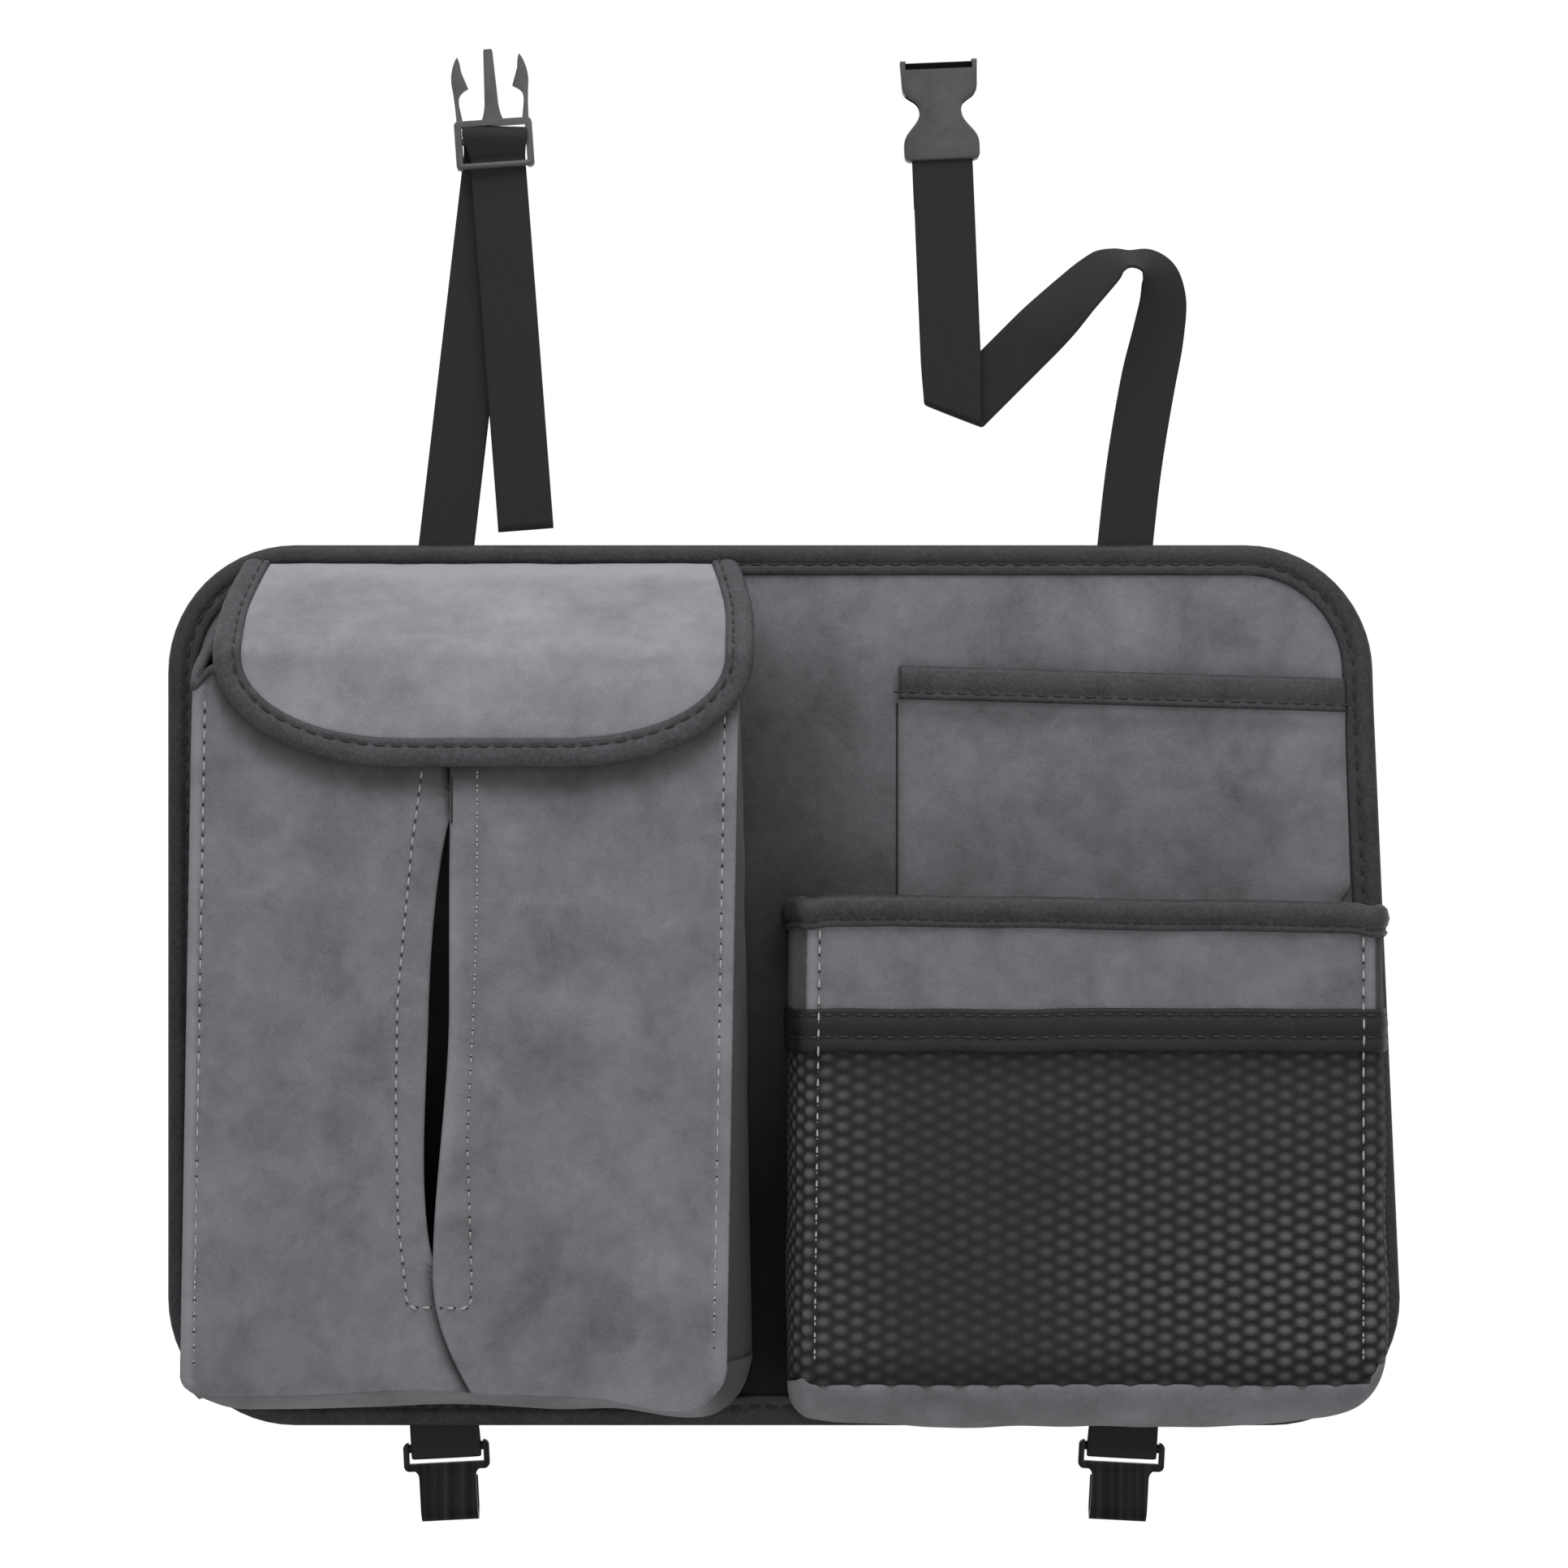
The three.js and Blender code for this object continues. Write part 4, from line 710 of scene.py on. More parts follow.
def side_lean(side, u, z):
    """How far the top of the left wall leans in along the panel."""
    return 7 * ease(z, 104, 126) * (1 - u) if side < 0 else 0


# Painted shade on the pocket's side walls, deeper on the right wall and further down.
def side_shade(x, z):
    near, far = (-0.3, -0.55) if x < FLAP_CENTRE else (-0.55, -0.85)
    return mix(near, far, tissue_share(z))


def gusset(side, seam_radius, front_radius):
    low_seam, low_front = SEAM_FOOT + seam_radius, TISSUE_FOOT + front_radius

    def place(u, v):
        top = side_rim(u) - 1.5 if side < 0 else 113.5
        z = mix(top, mix(low_seam, low_front, u), v)
        belly = 2 * math.sin(math.pi * u) * ease(v, 0.04, 0.25)
        slack = 0.9 * wander(u * POCKET_DEPTH, side * 20, z, 24) * math.sin(math.pi * u)
        x = mix(tissue_seam(side, z), tissue_edge(side, z), u) + side * (belly + slack)
        return np.array((x + side_lean(side, u, z), mix(FACE_Y, TISSUE_FRONT + 1.2, u), z))

    return place


for side, word, seam_radius, front_radius in zip((-1, 1), ("left", "right"), SEAM_RADII, FRONT_RADII):
    wall = cloth(
        f"tissue_{word}_side", 80, 16, gusset(side, seam_radius, front_radius), SUEDE, (side, 0, 0),
        tissue_suede, side_shade,
    )
    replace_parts(wall, f"tissue_gusset_{word}")


def foot_outline(left, right, bottom, left_radius, right_radius, share):
    """A point of a pocket's foot: down its left corner, along its bottom and up its right corner, with the
    direction out of it. Each corner has the same share of the walk."""
    corner = 0.22
    if share < corner:
        angle = math.pi + share / corner * math.pi / 2
        centre, radius = (left + left_radius, bottom + left_radius), left_radius
    elif share > 1 - corner:
        angle = -math.pi / 2 + (share - 1 + corner) / corner * math.pi / 2
        centre, radius = (right - right_radius, bottom + right_radius), right_radius
    else:
        x = mix(left + left_radius, right - right_radius, (share - corner) / (1 - 2 * corner))
        return np.array((x, bottom)), np.array((0.0, -1.0))
    out = np.array((math.cos(angle), math.sin(angle)))
    return np.array(centre) + radius * out, out


def tissue_foot(u, v):
    low = TISSUE_FOOT + FRONT_RADII[0]
    seam_point, out = foot_outline(TISSUE_SEAM_LEFT, tissue_seam(1, low), SEAM_FOOT, *SEAM_RADII, u)
    front_point, _ = foot_outline(tissue_edge(-1, low), tissue_edge(1, low), TISSUE_FOOT, *FRONT_RADII, u)
    front_point[1] += tissue_sag(front_point[0]) * max(0.0, -out[1])
    belly = mix(2, 5, max(0.0, -out[1])) * math.sin(math.pi * v)
    belly += 1.1 * wander(seam_point[0], v * POCKET_DEPTH, 7, 26) * math.sin(math.pi * v)
    x, z = mix(seam_point, front_point, v) + out * belly
    return np.array((x, mix(FACE_Y, TISSUE_FRONT + 1.2, v), z))


# Painted shade on the pocket's foot, deeper towards its right end.
def foot_shade(x, z):
    return -0.1 - 0.5 * ease(x, -32, -20)


foot = cloth(
    "tissue_pocket_foot", 18, 110, tissue_foot, SUEDE, (0, 0, -1), tissue_suede, foot_shade
)
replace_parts(foot, "tissue_base")


def on_front(x, z):
    """A point for a stitch, a little proud of the front's cloth."""
    proud = 0.25 + (lapping(x, z) if x > slit_edge(z) else 0)
    return tissue_front(x, z) - (0, proud, 0)


corner_seams = [
    [on_front(tissue_edge(side, z) - side * CORNER_SEAM, z) for z in np.linspace(101, -131, 90)]
    for side in (-1, 1)
]
sew("tissue_corner_stitches", corner_seams, 5.5, 3.6, 0.8, pale_thread)
sew("tissue_corner_holes", corner_seams, 5.5, 1.3, 1.0, dark_thread, 2.75)
# The frame's two long sides as rising heights and the X at each; the left one is sewn downwards.
FRAME_LOW = -111.4
frame_left = ([FRAME_LOW, -81, -38, -2, 50, 76], [-132.3, -135.7, -136.4, -135.7, -130.9, -127.5])
frame_right = ([FRAME_LOW, -103, -52, -9, 31, 76], [-110.2, -109.8, -111.2, -109, -107.8, -107.8])
slit_frame = [on_front(np.interp(z, *frame_left), z) for z in np.linspace(76, FRAME_LOW, 60)]
slit_frame += [on_front(x, FRAME_LOW) for x in np.linspace(-131.4, -111, 12)]
slit_frame += [on_front(np.interp(z, *frame_right), z) for z in np.linspace(FRAME_LOW, 76, 60)]
sew("tissue_slit_stitches", [slit_frame], 4.7, 3.1, 0.85, fine_thread)
sew("tissue_slit_holes", [slit_frame], 4.7, 1.2, 0.9, dark_thread, 2.35)
closed_edge = [on_front(slit_edge(z) + 0.1, z) for z in np.linspace(74, 60, 12)]
sew("tissue_slit_tack", [closed_edge], 1.6, 2.6, 0.8, dark_thread)

# Mouth strip: a narrow strip of leathercloth folded over the tissue pocket's mouth and sewn down, from the
# panel along the left wall, the front and the right wall. Each side wall takes up the same share of its
# length.
MOUTH_SIDE = 0.16


def tissue_mouth(share, z, out):
    """The X and Y of a point round the pocket's mouth, a distance out of its cloth."""
    if MOUTH_SIDE <= share <= 1 - MOUTH_SIDE:
        u = (share - MOUTH_SIDE) / (1 - 2 * MOUTH_SIDE)
        return mix(tissue_edge(-1, z) - out, tissue_edge(1, z) + out, u), TISSUE_FRONT - out
    side = -1 if share < 0.5 else 1
    u = share / MOUTH_SIDE if side < 0 else (1 - share) / MOUTH_SIDE
    x = mix(tissue_seam(side, z), tissue_edge(side, z), u) + side * out + side_lean(side, u, side_rim(u))
    return x, mix(FACE_Y - 1.3, TISSUE_FRONT, u) - out * ease(u, 0.85, 1)


def mouth_level(share):
    if share < MOUTH_SIDE:
        return side_rim(share / MOUTH_SIDE)
    along = (share - MOUTH_SIDE) / (1 - 2 * MOUTH_SIDE) * 2 * TISSUE_HALF
    return TISSUE_RIM - 6 * (1 - ease(along, 0, 7))


TISSUE_RIM_SECTION = [
    (0.4, -3.6), (1.0, -3.3), (1.3, -2.2), (1.1, -0.9), (0.5, -0.2), (-0.9, 0.0), (-2.3, -0.2), (-2.9, -0.9),
    (-3.1, -2.2), (-2.8, -3.3), (-2.2, -3.6), (-2.1, -1.1), (0.3, -1.1),
]
tissue_leather = leathercloth("tissue_rim_leathercloth", 64, 98)
rings = []
for i in range(181):
    share = i / 180
    ring = []
    for out, drop in TISSUE_RIM_SECTION:
        x, y = tissue_mouth(share, TISSUE_RIM + drop, out + 0.12 * wander(i * 1.7, out, drop, 6))
        ring.append((x, y, mouth_level(share) + drop))
    rings.append(ring)
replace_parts(strip("tissue_mouth_binding", rings, tissue_leather), "tissue_rim_binding")

# Flap: a padded leaf of suede sewn along its top edge. It slopes forward over the pocket, turns down over
# the rim and hangs in front of it, with a broad strip of leathercloth sewn round its three free edges.
FLAP_SLOPE, FLAP_FOLD, FLAP_THICK = math.radians(33), 7.0, 5.0
FLAP_TOP, FLAP_DROP, FLAP_ROOT_HALF = 151, 37.5, 89.5
flap_start = FACE_Y - 1.3 - FLAP_THICK / 2 * math.sin(FLAP_SLOPE)
flap_hang = TISSUE_FRONT - 1.6 - FLAP_THICK / 2 - 0.4
flap_slope_run = (flap_start - flap_hang - FLAP_FOLD * (1 - math.sin(FLAP_SLOPE))) / math.cos(FLAP_SLOPE)
flap_fold_run = FLAP_FOLD * (math.pi / 2 - FLAP_SLOPE)
flap_length = flap_slope_run + flap_fold_run + FLAP_DROP
# Painted light: the flap has the pocket's suede in lighter tones, as light on the flap that faces up.
flap_lit_suede = suede("flap_lit_suede", 130, 170)
flap_leather = leathercloth("flap_binding_leathercloth", 60, 92)


def flap_point(x, along, out):
    """A point of the flap, out of the middle of its thickness."""
    on_slope = min(along, flap_slope_run)
    on_fold = min(max(along - flap_slope_run, 0), flap_fold_run)
    on_drop = max(0.0, along - flap_slope_run - flap_fold_run)
    angle = FLAP_SLOPE + on_fold / FLAP_FOLD
    y = flap_start - on_slope * math.cos(FLAP_SLOPE) - FLAP_FOLD * (math.sin(angle) - math.sin(FLAP_SLOPE))
    z = FLAP_TOP - on_slope * math.sin(FLAP_SLOPE) - FLAP_FOLD * (math.cos(FLAP_SLOPE) - math.cos(angle))
    return np.array((x, y - math.sin(angle) * out, z - on_drop + math.cos(angle) * out))


def flap_side(inset, share):
    """Half the flap's width and the distance along it, a distance inside its edge. The corner starts at
    share 0.4, and share 1 is the middle of the lower edge."""
    corner_start = flap_length - FLAP_CORNER_DEEP
    if share < 0.4:
        along = share / 0.4 * corner_start
        flare = math.sin(math.pi / 2 * min(1.0, along / (0.8 * flap_slope_run)))
        return mix(FLAP_ROOT_HALF, FLAP_HALF, flare) - inset, along
    angle = (share - 0.4) / 0.6 * math.pi / 2
    half = FLAP_HALF - FLAP_CORNER + (FLAP_CORNER - inset) * max(0.0, math.cos(angle)) ** 0.9
    return half, corner_start + (FLAP_CORNER_DEEP - inset) * math.sin(angle)


def flap_leaf(u, v):
    half, along = flap_side(2.0, v)
    x = FLAP_CENTRE + mix(-half, half, u)
    free = ease(along, 0, 20) * (1 - ease(along, flap_length - 16, flap_length - 6))
    crown = 0.9 * math.sin(math.pi * u) * free
    slack = 0.55 * wander(x, 5, along, 30) + 0.25 * wander(x, 2, along, 11)
    return flap_point(x, along, 1.2 + crown + slack)


# Painted highlight: the top of the flap, where it bends up towards the light, is lighter.
def flap_top_highlight(x, z):
    return 1.2 * ease(z, 143, FLAP_TOP)


leaf = cloth(
    "tissue_flap_leaf", 72, 64, flap_leaf, 2.4, (0, -0.8, 0.6), flap_lit_suede, flap_top_highlight
)
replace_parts(leaf, "tissue_flap")
FLAP_SECTION = [
    (10.0, 1.4), (10.0, 2.1), (9.3, 2.7), (8.2, 2.85), (7.4, 2.45), (6.6, 2.85), (5.2, 3.3), (3.4, 3.3),
    (1.5, 2.7), (0.4, 1.5), (0.0, 0.0), (0.4, -1.6), (1.5, -2.5), (4.0, -2.6), (9.6, -2.5), (10.0, -1.6),
    (1.2, -1.4), (1.2, 1.4),
]
rings, flap_seam = [], []
for i in range(241):
    share = 1 - abs(i / 120 - 1)
    side = -1 if i <= 120 else 1
    ring = []
    for inset, out in FLAP_SECTION:
        half, along = flap_side(inset, share)
        puff = 0.3 * wander(i * 1.6, inset, out, 7) if out > 1.4 else 0
        ring.append(flap_point(FLAP_CENTRE + side * half, along, out + puff))
    rings.append(ring)
    half, along = flap_side(7.4, share)
    flap_seam.append(flap_point(FLAP_CENTRE + side * half, along, 2.8))
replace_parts(strip("tissue_flap_edge", rings, flap_leather), "tissue_flap_binding")
sew("tissue_flap_stitches", [flap_seam], 6.0, 4.2, 0.8, dark_thread)

# Slip pocket: one flat piece of suede sewn down at its sides, with a bound top edge that stands a little
# open.
SLIP_LEFT, SLIP_TOP, SLIP_FALL, SLIP_FOOT = 41.3, 115.3, 4.7, -20.0


def face_right(z):
    """Where the panel's face ends at its slanting right edge, just inside the binding."""
    return PANEL_HALF - PANEL_LEAN * (z + PANEL_TOP) / (2 * PANEL_TOP) - BINDING_WIDTH - 1.2


def slip_right(z):
    """The pocket's right seam, which steps in beside the box pocket."""
    return face_right(z) - 3.7 * (1 - ease(z, 30, 36))


def slip_point(share, z, forward):
    top = SLIP_TOP - SLIP_FALL * share
    below = min(1.0, max(0.0, (top - z) / (top - SLIP_FOOT)))
    swell = 5 * (1 - abs(2 * share - 1) ** 6) * (1 - below**4)
    stand = 1.6 * (1 - ease(top - z, 13, 19))
    return np.array((mix(SLIP_LEFT, slip_right(z), share), FACE_Y - stand - swell - forward, z))


def slip_face(u, v):
    z = mix(SLIP_TOP - SLIP_FALL * u - 1.3, SLIP_FOOT, v)
    slack = 0.5 * wander(u * 160, 1, z, 34) + 0.2 * wander(u * 160, 4, z, 12)
    return slip_point(u, z, 1.2 + slack * math.sin(math.pi * u))


slip_suede = suede("slip_suede", 100, 146)
slip_cloth = cloth("slip_pocket_cloth", 50, 50, slip_face, 1.2, (0, -1, 0), slip_suede)
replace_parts(slip_cloth, "slip_pocket")


def rim_section(height, thickness, roll):
    """The section of a strip folded over a rim: the distance out of the cloth's outer face and the height
    below the strip's top. A roll of cloth stands out above the seam's groove and a narrow lip below it."""
    near, far = 0.3, -thickness - 0.3
    return [
        (near + 0.3, -height), (near + 0.9, -height + 0.3), (near + 1.1 + 0.4 * roll, -height + 1.4),
        (near + 1.0 - 0.35 * roll, -height + 2.6), (near + 1.2 + 0.35 * roll, -height + 3.9),
        (near + 1.3 + 0.8 * roll, -height * 0.42), (near + 1.1 + 0.45 * roll, -1.4), (near + 0.6, -0.3),
        (-thickness / 2, 0.1), (far - 0.6, -0.35), (far - 1.0, -1.4), (far - 1.0, -height + 0.6),
        (far - 0.4, -height), (far, -height + 0.4), (far, -1.4), (near, -1.4), (near, -height + 0.4),
    ]


slip_leather = leathercloth("slip_binding_leathercloth", 56, 84)
rings, slip_seam = [], []
for i in range(101):
    u = i / 100
    ring = []
    for out, drop in rim_section(12, 1.2, 0.6):
        z = SLIP_TOP - SLIP_FALL * u + drop
        ring.append(slip_point(u, z, 1.2 + out + 0.14 * wander(u * 160, out, drop, 6)))
    rings.append(ring)
    slip_seam.append(slip_point(u, SLIP_TOP - SLIP_FALL * u - 9.4, 2.4))
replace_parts(strip("slip_pocket_edge", rings, slip_leather), "slip_pocket_binding")
sew("slip_pocket_stitches", [slip_seam], 5.6, 3.9, 1.0, dark_thread)
# Painted shadow: a close row of dark stitches down the pocket's left edge makes a dark line for the shadow at
# the step from panel to pocket.
slip_edge_shadow = [slip_point(0, z, 0.7) - (0.4, 0, 0) for z in np.linspace(101, 20, 30)]
sew("slip_side_stitches", [slip_edge_shadow], 1.3, 2.6, 0.9, dark_thread)

# Box pocket: its upper band is suede, its walls below are a thick net of small hexagons, and its foot is
# suede again. The walls are one piece from the panel at the left, round the front, to the panel at the
# right.
BOX_RIM, BOX_FOOT, BOX_FRONT, NET_TOP = 34.0, -139.0, -51.4, -14.5
BOX_LEFT, BOX_RIGHT, BOX_SEAM_LEFT, BOX_CORNER_SEAM = 9.6, 207.0, 2.0, 3.2


def box_share(z):
    return min(1.0, max(0.0, (BOX_RIM - z) / (BOX_RIM - BOX_FOOT)))


def box_edge(side, z):
    return BOX_LEFT - 2.2 * box_share(z) if side < 0 else BOX_RIGHT


def box_side_curve(share, puff):
    """The Y along a side wall and how far it puffs out there, from the panel at share 0 to the front at
    1."""
    first, second = (1 - share) ** 3, 3 * share * (1 - share) ** 2
    third, fourth = 3 * share**2 * (1 - share), share**3
    y = first * FACE_Y + second * (FACE_Y + 0.3 * (BOX_FRONT - FACE_Y)) + (third + fourth) * BOX_FRONT
    return y, (second + third) * puff


def box_plan(walk, z):
    """The outer face in plan. The walk runs from 0 at the left seam, through 1 and 5 at the front's corners,
    to 6 at the right seam."""
    if walk < 1:
        y, swell = box_side_curve(walk, 4)
        return np.array((mix(BOX_SEAM_LEFT, box_edge(-1, z), walk) - swell, y))
    if walk > 5:
        y, swell = box_side_curve(6 - walk, 8)
        return np.array((mix(face_right(z), box_edge(1, z), 6 - walk) + swell, y))
    share = (walk - 1) / 4
    swell = 3 * math.sin(math.pi * share) * math.sin(math.pi * box_share(z)) ** 2
    return np.array((mix(box_edge(-1, z), box_edge(1, z), share), BOX_FRONT - swell))


walks = np.concatenate([np.linspace(0, 1, 200), np.linspace(1, 5, 400)[1:], np.linspace(5, 6, 200)[1:]])
plan = np.array([box_plan(walk, -60) for walk in walks])
plan_lengths = np.concatenate([[0], np.cumsum(np.linalg.norm(np.diff(plan, axis=0), axis=1))])
PLAN_LENGTH = plan_lengths[-1]
corner_lengths = (np.interp(1, walks, plan_lengths), np.interp(5, walks, plan_lengths))


def box_wall(length, z, out=0.0):
    """A point of the wall by its distance round it and its height; the corners are turned softly."""
    span = 2.2
    spots = [np.interp(min(max(length + d, 0), PLAN_LENGTH), plan_lengths, walks) for d in (-span, 0, span)]
    before, here, after = (box_plan(spot, z) for spot in spots)
    along = unit(after - before)
    point = (before + 2 * here + after) / 4 + np.array((along[1], -along[0])) * out
    return np.array((point[0], point[1], z))


def rim_level(length):
    """The height of the pocket's rim: it falls a little to the right and droops at its corners and sides."""
    left, right = corner_lengths
    off = min(abs(length - left), abs(length - right))
    side = max(0.0, left - length, length - right)
    share = min(1.0, max(0.0, (length - left) / (right - left)))
    droop = 1.3 * math.exp(-((off / 4) ** 2)) + 0.1 * side
    return BOX_RIM - 2.9 * share + 0.6 * wander(length, 0, 4, 38) - droop


def box_seam_pull(length, z):
    """The pucker of the pale corner seams."""
    pull = 0.0
    for corner in corner_lengths:
        off = abs(length - corner) - BOX_CORNER_SEAM
        pull += 0.4 * math.exp(-((off / 1.4) ** 2)) * (1.1 + math.sin(2 * math.pi * z / 5.8))
    return pull


def off_panel(length):
    """0 where the walls are sewn to the panel, rising to 1 where they hang free."""
    return ease(min(length, PLAN_LENGTH - length), 0, 15)


def box_band(u, v):
    length = u * PLAN_LENGTH
    z = mix(rim_level(length) - 1.4, NET_TOP + 0.2, v)
    slack = 0.35 * wander(length, 2, z, 18) * off_panel(length)
    return box_wall(length, z, slack - box_seam_pull(length, z))


def box_wear_and_shade(x, z):
    """Rubbed corners, and painted shade on the side walls."""
    inside = min(x - box_edge(-1, z), box_edge(1, z) - x)
    tone_shift = (1 - ease(inside, 2.2, 3.8)) * ease(z, NET_TOP - 4, NET_TOP)
    return mix(tone_shift, -0.62, ease(-inside, 0.1, 1.6))


box_suede = suede("box_suede", 96, 138)
band = cloth("box_pocket_band", 20, 220, box_band, SUEDE, (0, -1, 0), box_suede, box_wear_and_shade)
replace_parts(band, "box_band")


def box_low(length):
    """The height of the walls' lower edge, where the foot is sewn on."""
    left, right = corner_lengths
    if length < left:
        return mix(-142.8, -136.0, length / left)
    if length > right:
        return mix(-136.0, -113.0, (length - right) / (PLAN_LENGTH - right))
    inset = min(3.0, length - left, right - length)
    return -136 - math.sqrt(9 - (3 - inset) ** 2)


# Net: thick knitted black net sewn on below the band. A hexagon that rises to a round pad in its middle is
# set out over a flat field, every other column half a step down, and the field is then laid round the
# pocket.
NET_COLUMN, NET_STEP, NET_RELIEF, NET_ROWS = 6.0, 5.5, 0.95, 24
CELL_RINGS, CELL_AROUND = [1.0, 0.8, 0.6, 0.4, 0.2], 12
cell_mesh = bpy.data.meshes.new("net_cell")
cell_points, cell_depths = [], []
corners = [(1, 0), (0.5, 1), (-0.5, 1), (-1, 0), (-0.5, -1), (0.5, -1)]
for scale in [*CELL_RINGS, 0.0]:
    for i in range(CELL_AROUND if scale else 1):
        first, second = corners[i // 2], corners[(i // 2 + i % 2) % 6]
        x = (first[0] + second[0]) / 2 * NET_COLUMN * 2 / 3 * scale
        z = (first[1] + second[1]) / 2 * NET_STEP / 2 * scale
        wave = math.cos(2 * math.pi * z / NET_STEP) * math.cos(math.pi * x / NET_COLUMN)
        hexagon = (2 * wave + math.cos(2 * math.pi * x / NET_COLUMN) + 1.5) / 4.5
        cell_depths.append(1 - 0.2 * (0.5 + 0.5 * wave) - 0.8 * hexagon)
        cell_points.append((x, NET_RELIEF * cell_depths[-1], z))
cell_faces = []
for ring in range(len(CELL_RINGS)):
    here, after = ring * CELL_AROUND, (ring + 1) * CELL_AROUND
    for i in range(CELL_AROUND):
        j = (i + 1) % CELL_AROUND
        last = ring == len(CELL_RINGS) - 1
        cell_faces.append((here + i, here + j, after) if last else (here + i, here + j, after + j, after + i))
cell_mesh.from_pydata(cell_points, [], cell_faces)
depth_layer = cell_mesh.attributes.new("depth", "FLOAT", "POINT")
depth_layer.data.foreach_set("value", cell_depths)
cell = bpy.data.objects.new("net_cell", cell_mesh)

spots = []
for column in range(int(PLAN_LENGTH / NET_COLUMN) + 2):
    for row in range(NET_ROWS):
        z = NET_TOP + 5 - NET_STEP * (row + 0.5 * (column % 2))
        if z > box_low(min(PLAN_LENGTH, column * NET_COLUMN)) - 2:
            spots.append((column * NET_COLUMN, 0, z))
field_mesh = bpy.data.meshes.new("net_field")
field_mesh.from_pydata(spots, [], [])

netting, netting_inputs = new_tree(
    "netting",
    [
        ("Field", "NodeSocketGeometry"), ("Cell", "NodeSocketObject"), ("Join distance", "NodeSocketFloat"),
        ("Yarn", "NodeSocketMaterial"),
    ],
    "Net",
)
net_in = netting.nodes.new("NodeGroupInput")
one_cell = netting.nodes.new("GeometryNodeObjectInfo")
set_out = netting.nodes.new("GeometryNodeInstanceOnPoints")
net_real = netting.nodes.new("GeometryNodeRealizeInstances")
net_joined = netting.nodes.new("GeometryNodeMergeByDistance")
net_dyed = netting.nodes.new("GeometryNodeSetMaterial")
net_out = netting.nodes.new("NodeGroupOutput")
for source, target in [
    (net_in.outputs["Field"], set_out.inputs["Points"]),
    (net_in.outputs["Cell"], one_cell.inputs["Object"]),
    (one_cell.outputs["Geometry"], set_out.inputs["Instance"]),
    (set_out.outputs["Instances"], net_real.inputs["Geometry"]),
    (net_real.outputs["Geometry"], net_joined.inputs["Geometry"]),
    (net_in.outputs["Join distance"], net_joined.inputs["Distance"]),
    (net_joined.outputs["Geometry"], net_dyed.inputs["Geometry"]),
    (net_in.outputs["Yarn"], net_dyed.inputs["Material"]),
    (net_dyed.outputs["Geometry"], net_out.inputs["Net"]),
]:
    netting.links.new(source, target)

net_yarn = Look("net_yarn", 0.8, Specular_IOR_Level=0.15)
depth_value = net_yarn.node("ShaderNodeAttribute", {"attribute_name": "depth"}, {}, "Fac")
fuzz = net_yarn.noise(1400, 2, 0.6)
net_x = net_yarn.node("ShaderNodeSeparateXYZ", {}, [net_yarn.object_place], "X")
net_z = net_yarn.node("ShaderNodeSeparateXYZ", {}, [net_yarn.object_place], "Z")
# Painted sheen: the net's pads are lighter, and its valleys darker, towards its left edge and its lower
# right.
left_sheen = 0.6 * (1 - net_yarn.spread(net_x, 0.01, 0.045))
right_sheen = net_yarn.spread(net_x, 0.08, 0.17) * net_yarn.spread(net_z, -0.1, -0.035, 0.9, 0.1)
painted_sheen = net_yarn.spread(left_sheen + right_sheen + net_yarn.noise(22, 2, 0.5) * 0.7, 0.35, 1.2)
# Painted shade: the net darkens just above the foot and just below the flat strip.
shade_above_foot = net_yarn.spread(net_z, -0.139, -0.126, 0.3, 1.0)
shade_below_strip = net_yarn.spread(net_z, -0.034, -0.02, 1.0, 0.55)
pads = net_yarn.tint(painted_sheen, grey(66), grey(102))
valleys = net_yarn.tint(painted_sheen, grey(50), grey(38))
# Painted shade: the net's valleys are darker than its pads, as shade in its pits.
knit = net_yarn.tint(net_yarn.spread(depth_value + fuzz * 0.4, 0.35, 1.1), pads, valleys)
net_yarn.finish(net_yarn.tint(shade_above_foot * shade_below_strip, grey(20), knit), net_yarn.bump(fuzz, 0.0003, 0.8))

net_mesh = run_tree(
    "box_pocket_net", field_mesh, netting, netting_inputs,
    {"Cell": cell, "Join distance": 0.02, "Yarn": net_yarn.material},
)


def net_slack(length, z):
    return 0.7 * wander(length, 2, z, 32) * off_panel(length)


net_points = np.empty(len(net_mesh.vertices) * 3)
net_mesh.vertices.foreach_get("co", net_points)
net_points = net_points.reshape(-1, 3)
for i, (length, depth, z) in enumerate(net_points):
    length = min(max(length, 0.0), PLAN_LENGTH)
    z = min(NET_TOP + 7, max(z, box_low(length)))
    out = 0.5 - depth + net_slack(length, z) - box_seam_pull(length, z)
    net_points[i] = 0.001 * box_wall(length, z, out)
net_mesh.vertices.foreach_set("co", net_points.ravel())
net_mesh.update()
net_mesh.polygons.foreach_set("use_smooth", [True] * len(net_mesh.polygons))
add_piece("box_pocket_net", net_mesh)


def net_back(u, v):
    length = u * PLAN_LENGTH
    z = mix(NET_TOP, box_low(length), v)
    return box_wall(length, z, net_slack(length, z) - 1.2)


liner_yarn = Look("net_liner_yarn", 0.85)
liner_weave = liner_yarn.noise(1600, 2, 0.5)
liner_yarn.finish(liner_yarn.tint(liner_weave, grey(20), grey(32)), liner_yarn.bump(liner_weave, 0.0002))
net_liner = cloth("box_pocket_net_back", 50, 200, net_back, 0.5, (0, -1, 0), liner_yarn)
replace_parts(net_liner, "box_net")


